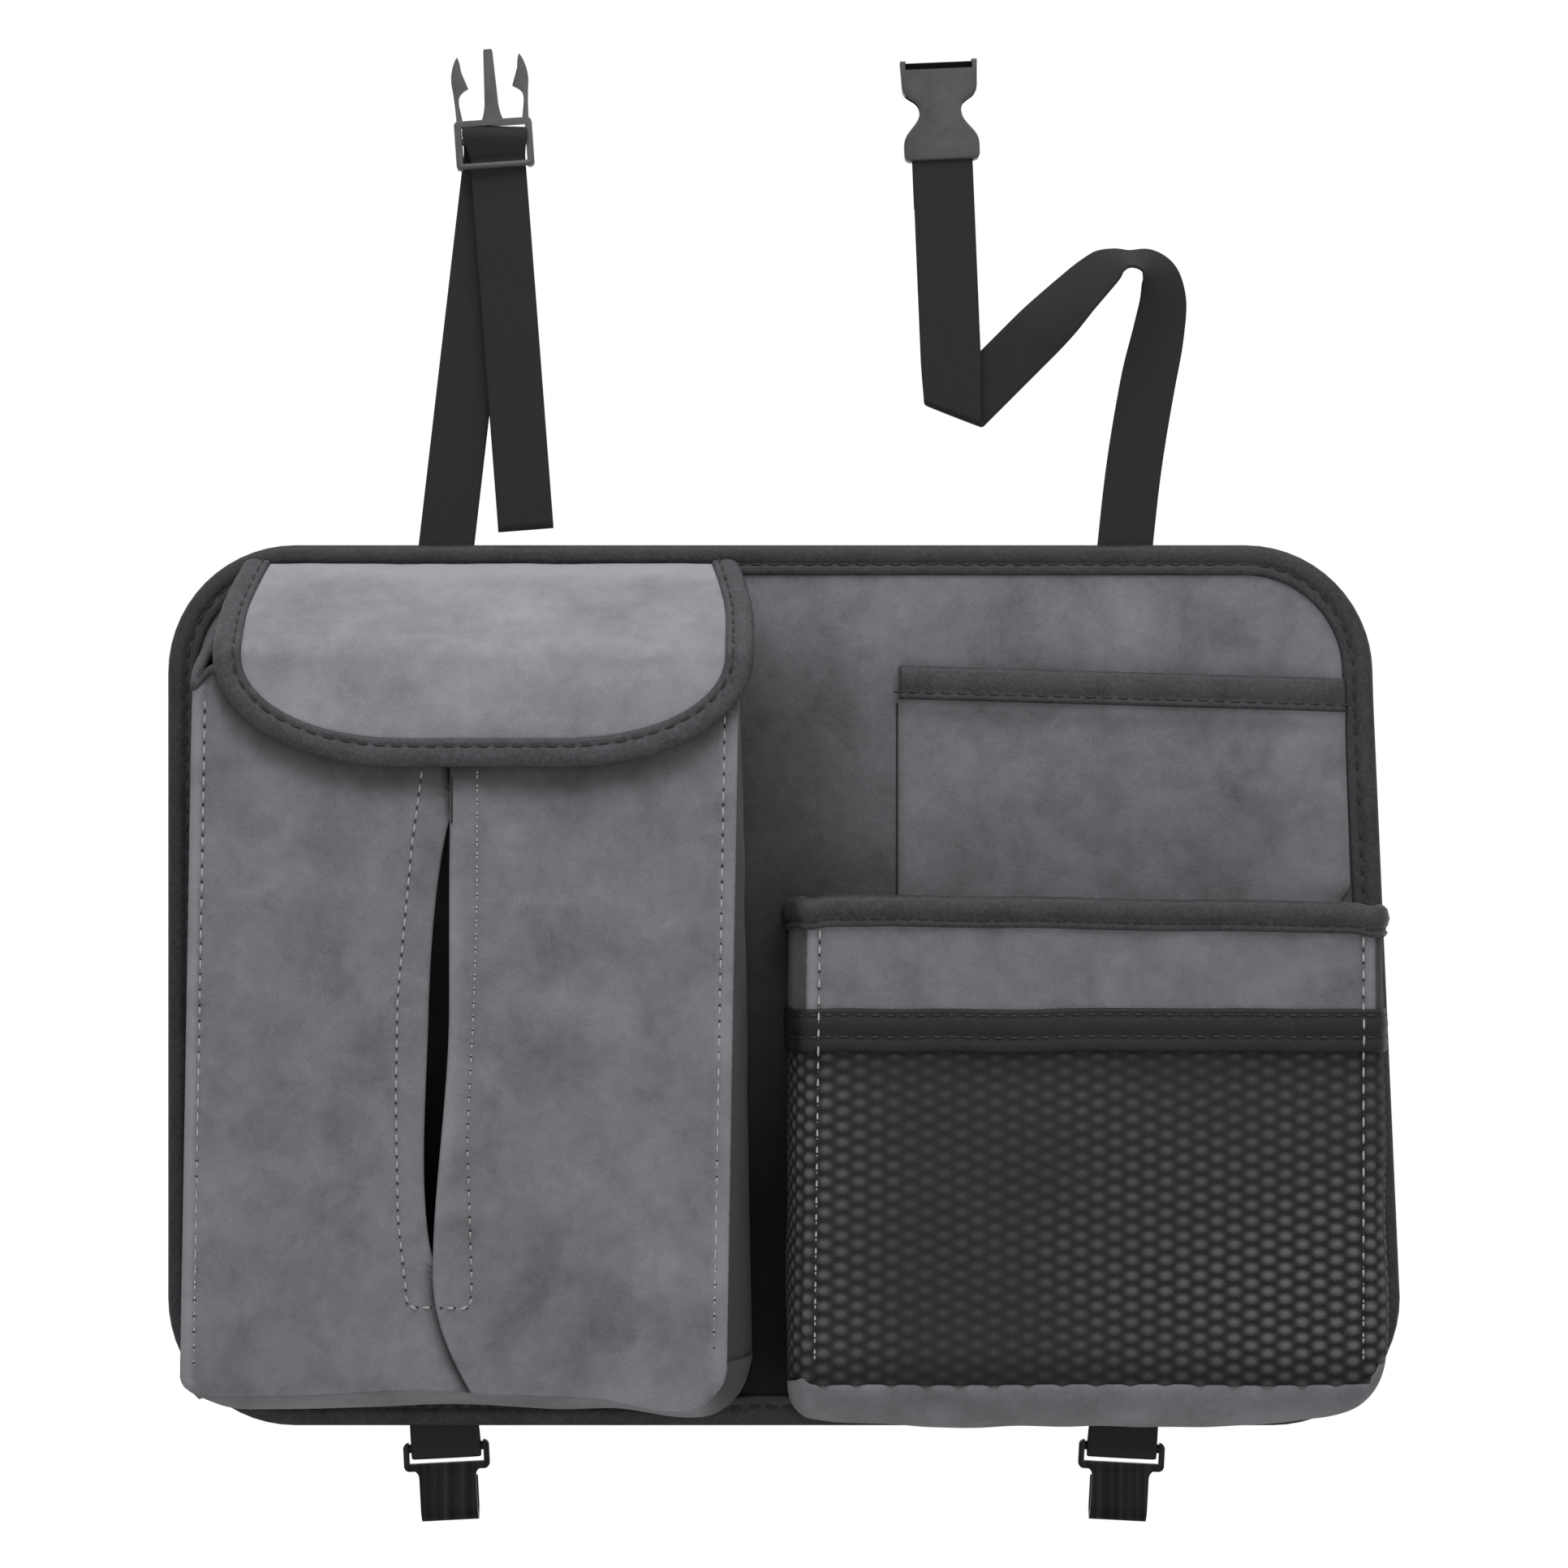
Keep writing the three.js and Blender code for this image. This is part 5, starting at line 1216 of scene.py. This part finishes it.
def box_foot(u, v):
    seam_point, out = foot_outline(BOX_SEAM_LEFT, face_right(-113), SEAM_FOOT, 4, SEAM_RADII[0], u)
    front_point, _ = foot_outline(box_edge(-1, -131), BOX_RIGHT, BOX_FOOT, 3, 3, u)
    puff = mix(mix(4, 8, u), 17, ease(min(u, 1 - u), 0.02, 0.36))
    y, swell = box_side_curve(v, puff)
    slack = 1.2 * wander(seam_point[0], v * POCKET_DEPTH, 3, 24) * math.sin(math.pi * v) * max(0.0, -out[1])
    x, z = mix(seam_point, front_point, v) + out * (swell + slack)
    return np.array((x, y, z))


box_bottom = cloth("box_pocket_foot", 30, 150, box_foot, SUEDE, (0, 0, -1), box_suede)
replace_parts(box_bottom, "box_base")

# Strips: one of leathercloth is folded over the box pocket's rim, and a flat one covers the seam of band and
# net, with a row of dark stitches along each edge. Both end at the panel.
box_leather = leathercloth("box_rim_leathercloth", 50, 78)
strip_lengths = np.linspace(1.6, PLAN_LENGTH - 2.6, 241)
rings, box_mouth_seam = [], []
for length in strip_lengths:
    ring = []
    level = rim_level(length)
    for out, drop in rim_section(11, SUEDE, 1.4):
        ring.append(box_wall(length, level + drop, out + 0.28 * wander(length, out, drop, 7)))
    rings.append(ring)
    box_mouth_seam.append(box_wall(length, level - 8.4, 0.95))
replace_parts(strip("box_mouth_binding", rings, box_leather), "box_rim_binding")
sew("box_mouth_stitches", [box_mouth_seam], 5.4, 3.6, 1.1, dark_thread)

net_leather = leathercloth("net_binding_leathercloth", 24, 40)
NET_STRIP = [
    (0.3, 0.0), (1.0, -0.2), (1.4, -1.2), (0.9, -2.2), (1.5, -3.4), (1.7, -6.0), (1.4, -8.6), (0.8, -9.9),
    (1.4, -11.2), (1.4, -14.1), (1.0, -15.1), (0.3, -15.3), (0.2, -7.6),
]
rings, net_seams = [], [[], []]
for length in strip_lengths:
    level = -6.4 + 0.7 * wander(length, 7, 1, 28)
    rings.append(
        [box_wall(length, level + drop, out + 0.25 * wander(length, out, drop, 7)) for out, drop in NET_STRIP]
    )
    for seam, drop in zip(net_seams, (2.2, 9.9)):
        seam.append(box_wall(length, level - drop, 1.15))
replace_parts(strip("net_top_binding", rings, net_leather), "box_net_binding")
sew("net_binding_stitches", net_seams, 5.4, 3.6, 1.0, dark_thread)
box_corner_seams = []
for corner, way in zip(corner_lengths, (1, -1)):
    seam_length = corner + way * BOX_CORNER_SEAM
    levels = np.linspace(rim_level(corner) - 12.5, -128, 70)
    # The seam runs over the flat strip between -6 and -22.
    box_corner_seams.append([box_wall(seam_length, z, 0.35 if z > -6 or z < -22 else 1.7) for z in levels])
sew("box_corner_stitches", box_corner_seams, 5.8, 3.8, 0.85, pale_thread)
sew("box_corner_holes", box_corner_seams, 5.8, 1.3, 1.0, dark_thread, 2.9)

# Straps: black woven webbing, 20 mm wide, sewn into the panel's top edge. The left one goes up through the
# male buckle and comes down again as a loose tail. The right one turns over in an arch, folds flat and loops
# round the female buckle's bar.
STRAP_WIDTH, WEB_THICK, WEB_Y, SEWN_IN = 20, 1.4, -3.2, 16


def webbing_look(name, dark, light):
    """Ribbed webbing: fine ridges across it from the weft and a slow beat of warp threads along it."""
    look = Look(name, 0.75, Specular_IOR_Level=0.15)
    cloth_place = look.node("ShaderNodeTexCoord", {}, {}, "UV")
    parts = look.tree.nodes.new("ShaderNodeSeparateXYZ")
    look.tree.links.new(cloth_place.socket, parts.inputs[0])
    across, along = Wire(look, parts.outputs["X"]), Wire(look, parts.outputs["Y"])
    warp = look.wave(across * 5200.0 + look.wave(along * 2600.0) * 0.9)
    weft = look.wave(along * 5200.0 + across * 1300.0)
    fuzz = look.noise(900, 3, 0.6)
    weave = warp * 0.35 + weft * 0.45 + fuzz * 0.4
    return look.finish(
        look.tint(look.spread(weave, 0.1, 1.0), grey(dark), grey(light)),
        look.bump(weave, 0.0001, 0.7),
    )


webbing = webbing_look("black_webbing", 35, 50)


def web_start(place, along):
    """The turn and place of an unrolled web that starts at a point and runs along a direction in XZ, with
    its face towards the front."""
    across = (along[2], 0, -along[0])
    start = Matrix.Identity(4)
    for column, axis in enumerate((across, along, (0, -1, 0), place)):
        for row in range(3):
            start[row][column] = axis[row]
    return start


def bent(start, bends, across, along, out):
    """A point of a web that lies unrolled at (across, along, out), carried through its bends. Each bend has
    its distance along the web, the skew of its crease, its radius, its angle and the side that it turns
    to."""
    whole = start.copy()
    for at, skew, radius, angle, side in bends:
        crease = Vector((math.cos(skew), math.sin(skew), 0))
        onward = Vector((-crease.y, crease.x, 0))
        past = onward.dot(Vector((across, along - at, 0)))
        if past > 0:
            used = min(past, angle * radius)
            centre = Vector((0, at, radius * side))
            turn = Matrix.Rotation(side * used / radius, 4, crease)
            whole = whole @ Matrix.Translation(centre) @ turn @ Matrix.Translation(-(centre + onward * used))
    return whole @ Vector((across, along, out))


def web_lines(bends, length):
    """The lines across a web, as the distance along it at its left and right edges, close together at
    bends."""
    marks = [(0.0, 0.0)]
    for at, skew, radius, angle, _ in bends:
        lead, reach = STRAP_WIDTH / 2 * math.tan(skew), angle * radius / math.cos(skew)
        marks += [(at + reach * i / 16 - lead, at + reach * i / 16 + lead) for i in range(17)]
    marks.append((length, length))
    lines = []
    for first, second in zip(marks, marks[1:]):
        gap = max(second[0] - first[0], second[1] - first[1])
        count = max(1, round(gap / 3))
        for i in range(count):
            lines.append((mix(first[0], second[0], i / count), mix(first[1], second[1], i / count)))
    return lines + [marks[-1]]


def web_section(width):
    """Across and out of a web's round-edged section, once round."""
    half, thick = width / 2, WEB_THICK / 2
    face = [(half * s, thick * (1 - 0.12 * s * s)) for s in (-0.94, -0.8, -0.5, -0.2, 0.2, 0.5, 0.8, 0.94)]
    edge = [(half, 0.35), (half, -0.35)]
    return face + edge + [(x, -y) for x, y in reversed(face)] + [(-half, -0.35), (-half, 0.35)]


def web_strip(name, width, lines, place, node):
    """Lofts a web; place(across, along, out) gives its points in space."""
    section = web_section(width)
    rings, uvs = [], []
    for left, right in lines:
        ring = []
        for across, out in section:
            along = mix(left, right, across / width + 0.5)
            ring.append(place(across, along, out + 0.12 * wander(across, along, 3, 13)))
            uvs.append((0.001 * across, 0.001 * along))
        rings.append(ring)
    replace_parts(strip(name, rings, webbing, uvs=uvs), node)


# The left strap turns over the bar with a roll and a tuck, and its tail is the part that comes down again.
LEFT_LEAN, TAIL_LEAN, TUCK = math.radians(6.6), math.radians(4.7), math.radians(20)
LEFT_PLACE, BAR_LEVEL, ROLL_RADIUS, TAIL_LENGTH = -122, 306.1, 3.3, 141.6
strap_root = PANEL_TOP - SEWN_IN
left_root = (LEFT_PLACE - SEWN_IN * math.tan(LEFT_LEAN), WEB_Y, strap_root)
left_start = web_start(left_root, (math.sin(LEFT_LEAN), 0, math.cos(LEFT_LEAN)))
left_run = (BAR_LEVEL - strap_root) / math.cos(LEFT_LEAN)
left_roll = ROLL_RADIUS * (math.pi + TUCK)
left_bends = [
    (left_run, (LEFT_LEAN + TAIL_LEAN) / 2, ROLL_RADIUS, math.pi + TUCK, 1),
    (left_run + left_roll + 6.2, 0.0, 4.0, TUCK, -1),
]
left_length = left_run + left_roll + TAIL_LENGTH


def left_web(across, along, out):
    """The web is pressed a little wider where it turns over the buckle's bar."""
    spread = 1 + 0.17 * math.exp(-(((along - left_run - left_roll / 2) / 9) ** 4))
    return bent(left_start, left_bends, across * spread, along, out)


web_strip("left_strap_webbing", STRAP_WIDTH, web_lines(left_bends, left_length), left_web, "left_strap")

# The right strap's middle line up its arch and down to the start of the flat diagonal, as X, Z and the web's
# turn about it in degrees.
RIGHT_PLACE, RIGHT_LEAN = 123.3, math.radians(5.3)
ARCH = [
    (RIGHT_PLACE - SEWN_IN * math.tan(RIGHT_LEAN), strap_root, 0), (RIGHT_PLACE, PANEL_TOP, 0),
    (126.6, 188, 0), (131.6, 218, 4), (135.4, 236, 20), (137.0, 248.5, 32), (135.4, 256.8, 44),
    (131.2, 261.0, 57), (124.9, 261.9, 68), (120.2, 261.3, 60), (116.2, 259.2, 47), (111.3, 255, 39),
    (104.1, 247.9, 30), (97.6, 241.1, 17), (89.5, 233, 0),
]


def smooth_path(points, share):
    """A point on the smooth curve through the points."""
    spot = share * (len(points) - 1)
    i = min(int(spot), len(points) - 2)
    part = spot - i
    here, after = points[i], points[i + 1]
    before = points[i - 1] if i else 2 * here - after
    beyond = points[i + 2] if i + 2 < len(points) else 2 * after - here
    pairs = ((before, here), (here, after), (after, beyond))
    g0, g1, g2 = (max(1e-3, np.linalg.norm(b - a) ** 0.5) for a, b in pairs)
    leave = ((here - before) / g0 - (after - before) / (g0 + g1) + (after - here) / g1) * g1
    reach = ((after - here) / g1 - (beyond - here) / (g1 + g2) + (beyond - after) / g2) * g1
    square = -3 * here + 3 * after - 2 * leave - reach
    cube = 2 * here - 2 * after + leave + reach
    return here + leave * part + square * part**2 + cube * part**3


arch_middle = [np.array((x, WEB_Y - 12 * ease(i, 3, len(ARCH) - 2), z)) for i, (x, z, _) in enumerate(ARCH)]
arch_turns = [np.array((i, turn, 0.0)) for i, (_, _, turn) in enumerate(ARCH)]
section = web_section(STRAP_WIDTH)
right_rings, right_uvs, travelled, previous = [], [], 0.0, None
for i in range(121):
    share = i / 120
    point = smooth_path(arch_middle, share)
    ahead = smooth_path(arch_middle, min(1, share + 1e-3)) - smooth_path(arch_middle, max(0, share - 1e-3))
    along = unit(ahead * (1, 0, 1))
    turn = math.radians(smooth_path(arch_turns, share)[1])
    across = np.array((along[2] * math.cos(turn), math.sin(turn), -along[0] * math.cos(turn)))
    outward = np.cross(across, along)
    travelled += 0 if previous is None else np.linalg.norm(point - previous)
    previous = point
    if i < 120:
        right_rings.append([point + across * a + outward * o for a, o in section])
        right_uvs += [(0.001 * a, 0.001 * travelled) for a, _ in section]
flat_across = unit(across * (1, 0, 1))
diagonal = web_start(point, (-flat_across[2], 0, flat_across[0]))
FOLD_SKEW, FOLD_RADIUS, LOOP_RADIUS, LOOP_END = math.radians(23.7), 1.7, 2.2, 20
DIAGONAL_RUN, UPRIGHT_RUN = 37.9, 92.5
loop_at = DIAGONAL_RUN + math.pi * FOLD_RADIUS / math.cos(FOLD_SKEW) + UPRIGHT_RUN
right_bends = [(DIAGONAL_RUN, FOLD_SKEW, FOLD_RADIUS, math.pi, 1), (loop_at, 0.0, LOOP_RADIUS, math.pi, 1)]
for left, right in web_lines(right_bends, loop_at + math.pi * LOOP_RADIUS + LOOP_END):
    ring = []
    for across_by, out in section:
        by = mix(left, right, across_by / STRAP_WIDTH + 0.5)
        across_by *= 1 + 0.08 * ease(by, DIAGONAL_RUN, DIAGONAL_RUN + 25)
        ring.append(bent(diagonal, right_bends, across_by, by, out + 0.1 * wander(across_by, by, 8, 13)))
        right_uvs.append((0.001 * across_by, 0.001 * (travelled + by)))
    right_rings.append(ring)
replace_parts(strip("right_strap_webbing", right_rings, webbing, uvs=right_uvs), "right_strap")
loop_seams = []
for by in (loop_at - 8.6, loop_at - 9.7):
    loop_seams.append([bent(diagonal, right_bends, a, by, 0.85) for a in np.linspace(-8.8, 8.8, 14)])
sew("right_loop_stitches", loop_seams, 2.2, 2.1, 0.9, dark_thread)

# Buckle: moulded dark grey plastic in two halves that click together. The male half has a middle prong, two
# sprung arms and an adjuster bar; the female half is a waisted shell with a mouth.


def moulded(name, dark, light, roughness, shine):
    """Moulded plastic: an even colour, a faint spark-eroded grain and dull patches from handling."""
    look = Look(name, roughness, Specular_IOR_Level=shine)
    grain = look.noise(2600, 2, 0.5)
    handled = look.noise(120, 4, 0.6)
    return look.finish(
        look.tint(look.spread(handled, 0.3, 0.75), grey(dark), grey(light)),
        look.bump(grain, 0.00012, 0.5),
        look.spread(handled, 0.3, 0.7, roughness - 0.08, roughness + 0.1),
    )


def rounded_copy(name, node, look, body, round_by, inner_look=None, inside=None):
    """A moulded piece with its edges broken, made from the node's own shape. The faces whose middle is
    inside get the inner look."""
    shape = bmesh.new()
    shape.from_mesh(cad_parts[node].data)
    bmesh.ops.remove_doubles(shape, verts=shape.verts, dist=2e-6)
    bmesh.ops.dissolve_limit(shape, angle_limit=math.radians(1.5), verts=shape.verts, edges=shape.edges)
    mesh = bpy.data.meshes.new(name)
    shape.to_mesh(mesh)
    shape.free()
    mesh.materials.clear()
    mesh.materials.append(look.material)
    carrier = bpy.data.objects.new(name + "_blank", mesh)
    scene.collection.objects.link(carrier)
    bevel = carrier.modifiers.new("broken_edges", "BEVEL")
    bevel.width = 0.001 * round_by
    bevel.segments = 2
    bevel.limit_method = "ANGLE"
    bevel.angle_limit = math.radians(38)
    bevel.harden_normals = False
    finished = bpy.data.meshes.new_from_object(carrier.evaluated_get(bpy.context.evaluated_depsgraph_get()))
    bpy.data.objects.remove(carrier)
    finished.name = name
    finished.polygons.foreach_set("use_smooth", [True] * len(finished.polygons))
    finished.set_sharp_from_angle(angle=math.radians(42))
    if inside:
        finished.materials.append(inner_look.material)
        for face in finished.polygons:
            face.material_index = 1 if inside(face.center * 1000) else 0
    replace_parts(add_piece(name, finished, body), node)


buckle_plastic = moulded("buckle_plastic", 78, 96, 0.4, 0.3)
shell_plastic = moulded("buckle_shell_plastic", 65, 89, 0.38, 0.3)
# Painted shade: the female shell's mouth and the lip's top are near black, as shade in the opening.
mouth_shadow_plastic = moulded("buckle_mouth_shadow", 8, 14, 0.6, 0.05)
rounded_copy("male_buckle_moulding", "male_buckle", buckle_plastic, BODY, 0.3)

# The shell stands square on the line where the right strap starts to loop round its bar.
loop_edges = [bent(diagonal, right_bends, side * STRAP_WIDTH / 2, loop_at, 0) for side in (-1, 1)]
loop_edges.sort(key=lambda edge: edge.x)
shell_across = (loop_edges[1] - loop_edges[0]).normalized()
shell_up = Vector((-shell_across.z, 0, shell_across.x))
shell_origin = (loop_edges[0] + loop_edges[1]) / 2
MOUTH_HALF, LIP_TOP, MOUTH_LOW, MOUTH_FRONT, MOUTH_BACK = 12.3, 29.2, 15, -19.2, -13.6


def in_mouth(place):
    """Whether a point of the shell lies in its mouth or on the lip's top."""
    off = place - shell_origin
    across, up = off.dot(shell_across), off.dot(shell_up)
    between = up > MOUTH_LOW and MOUTH_FRONT < place.y < MOUTH_BACK
    return abs(across) < MOUTH_HALF and (up > LIP_TOP or between)


rounded_copy(
    "female_buckle_moulding", "female_buckle", shell_plastic, BODY, 0.3, mouth_shadow_plastic, in_mouth
)

# Tabs and hooks: two short 25 mm webs sewn into the bottom edge, each looped round the bar of a black
# moulded hook that swings on it and catches the seat's lower edge.
TAB_WIDTH, TAB_PLACE, TAB_LEAN, HOOK_DROP = 25, 124.4, math.radians(3), 9.1
TAB_RADIUS, PINCH, PINCH_RADIUS = 2.6, math.radians(35), 2.5
tab_run, tab_roll = SEWN_IN + HOOK_DROP, TAB_RADIUS * (math.pi + PINCH)
pinch_at = tab_run + tab_roll + 4.5
tab_bends = [(tab_run, 0.0, TAB_RADIUS, math.pi + PINCH, -1), (pinch_at, 0.0, PINCH_RADIUS, PINCH, 1)]
tab_length = pinch_at + PINCH_RADIUS * PINCH + 0.3
hook_plastic = Look("hook_plastic", 0.36, Specular_IOR_Level=0.16)
hook_place = hook_plastic.node("ShaderNodeSeparateXYZ", {}, [hook_plastic.object_place], "X")
# Painted highlights: vertical bands across the plate are lighter and glossier, standing in for highlights on
# its ridges, and the same bands raise its bump.
ridge_highlights = hook_plastic.noise(330, 2, 0.5, hook_plastic.node("ShaderNodeCombineXYZ", {}, {"X": hook_place}))
hook_grain = hook_plastic.noise(1500, 2, 0.5)
hook_plastic.finish(
    hook_plastic.tint(hook_plastic.spread(ridge_highlights + hook_grain * 0.12, 0.5, 0.72), grey(15), grey(50)),
    hook_plastic.bump(hook_grain + ridge_highlights * 3.0, 0.00015, 0.6),
    hook_plastic.spread(ridge_highlights, 0.4, 0.7, 0.45, 0.3),
)


def tab_place(start):
    return lambda across, along, out: bent(start, tab_bends, across, along, out)


for side, word in [(-1, "left"), (1, "right")]:
    lean = side * TAB_LEAN
    root = (side * TAB_PLACE - SEWN_IN * math.tan(lean), WEB_Y, SEWN_IN - PANEL_TOP)
    place = tab_place(web_start(root, (-math.sin(lean), 0, -math.cos(lean))))
    web_strip(f"{word}_tab_webbing", TAB_WIDTH, web_lines(tab_bends, tab_length), place, f"{word}_tab")
    rounded_copy(f"{word}_hook_moulding", f"{word}_hook", hook_plastic, f"{word}_hook_body", 0.35)

new_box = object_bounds()
sizes = {"cad": [list(corner) for corner in cad_box], "visual": [list(corner) for corner in new_box]}
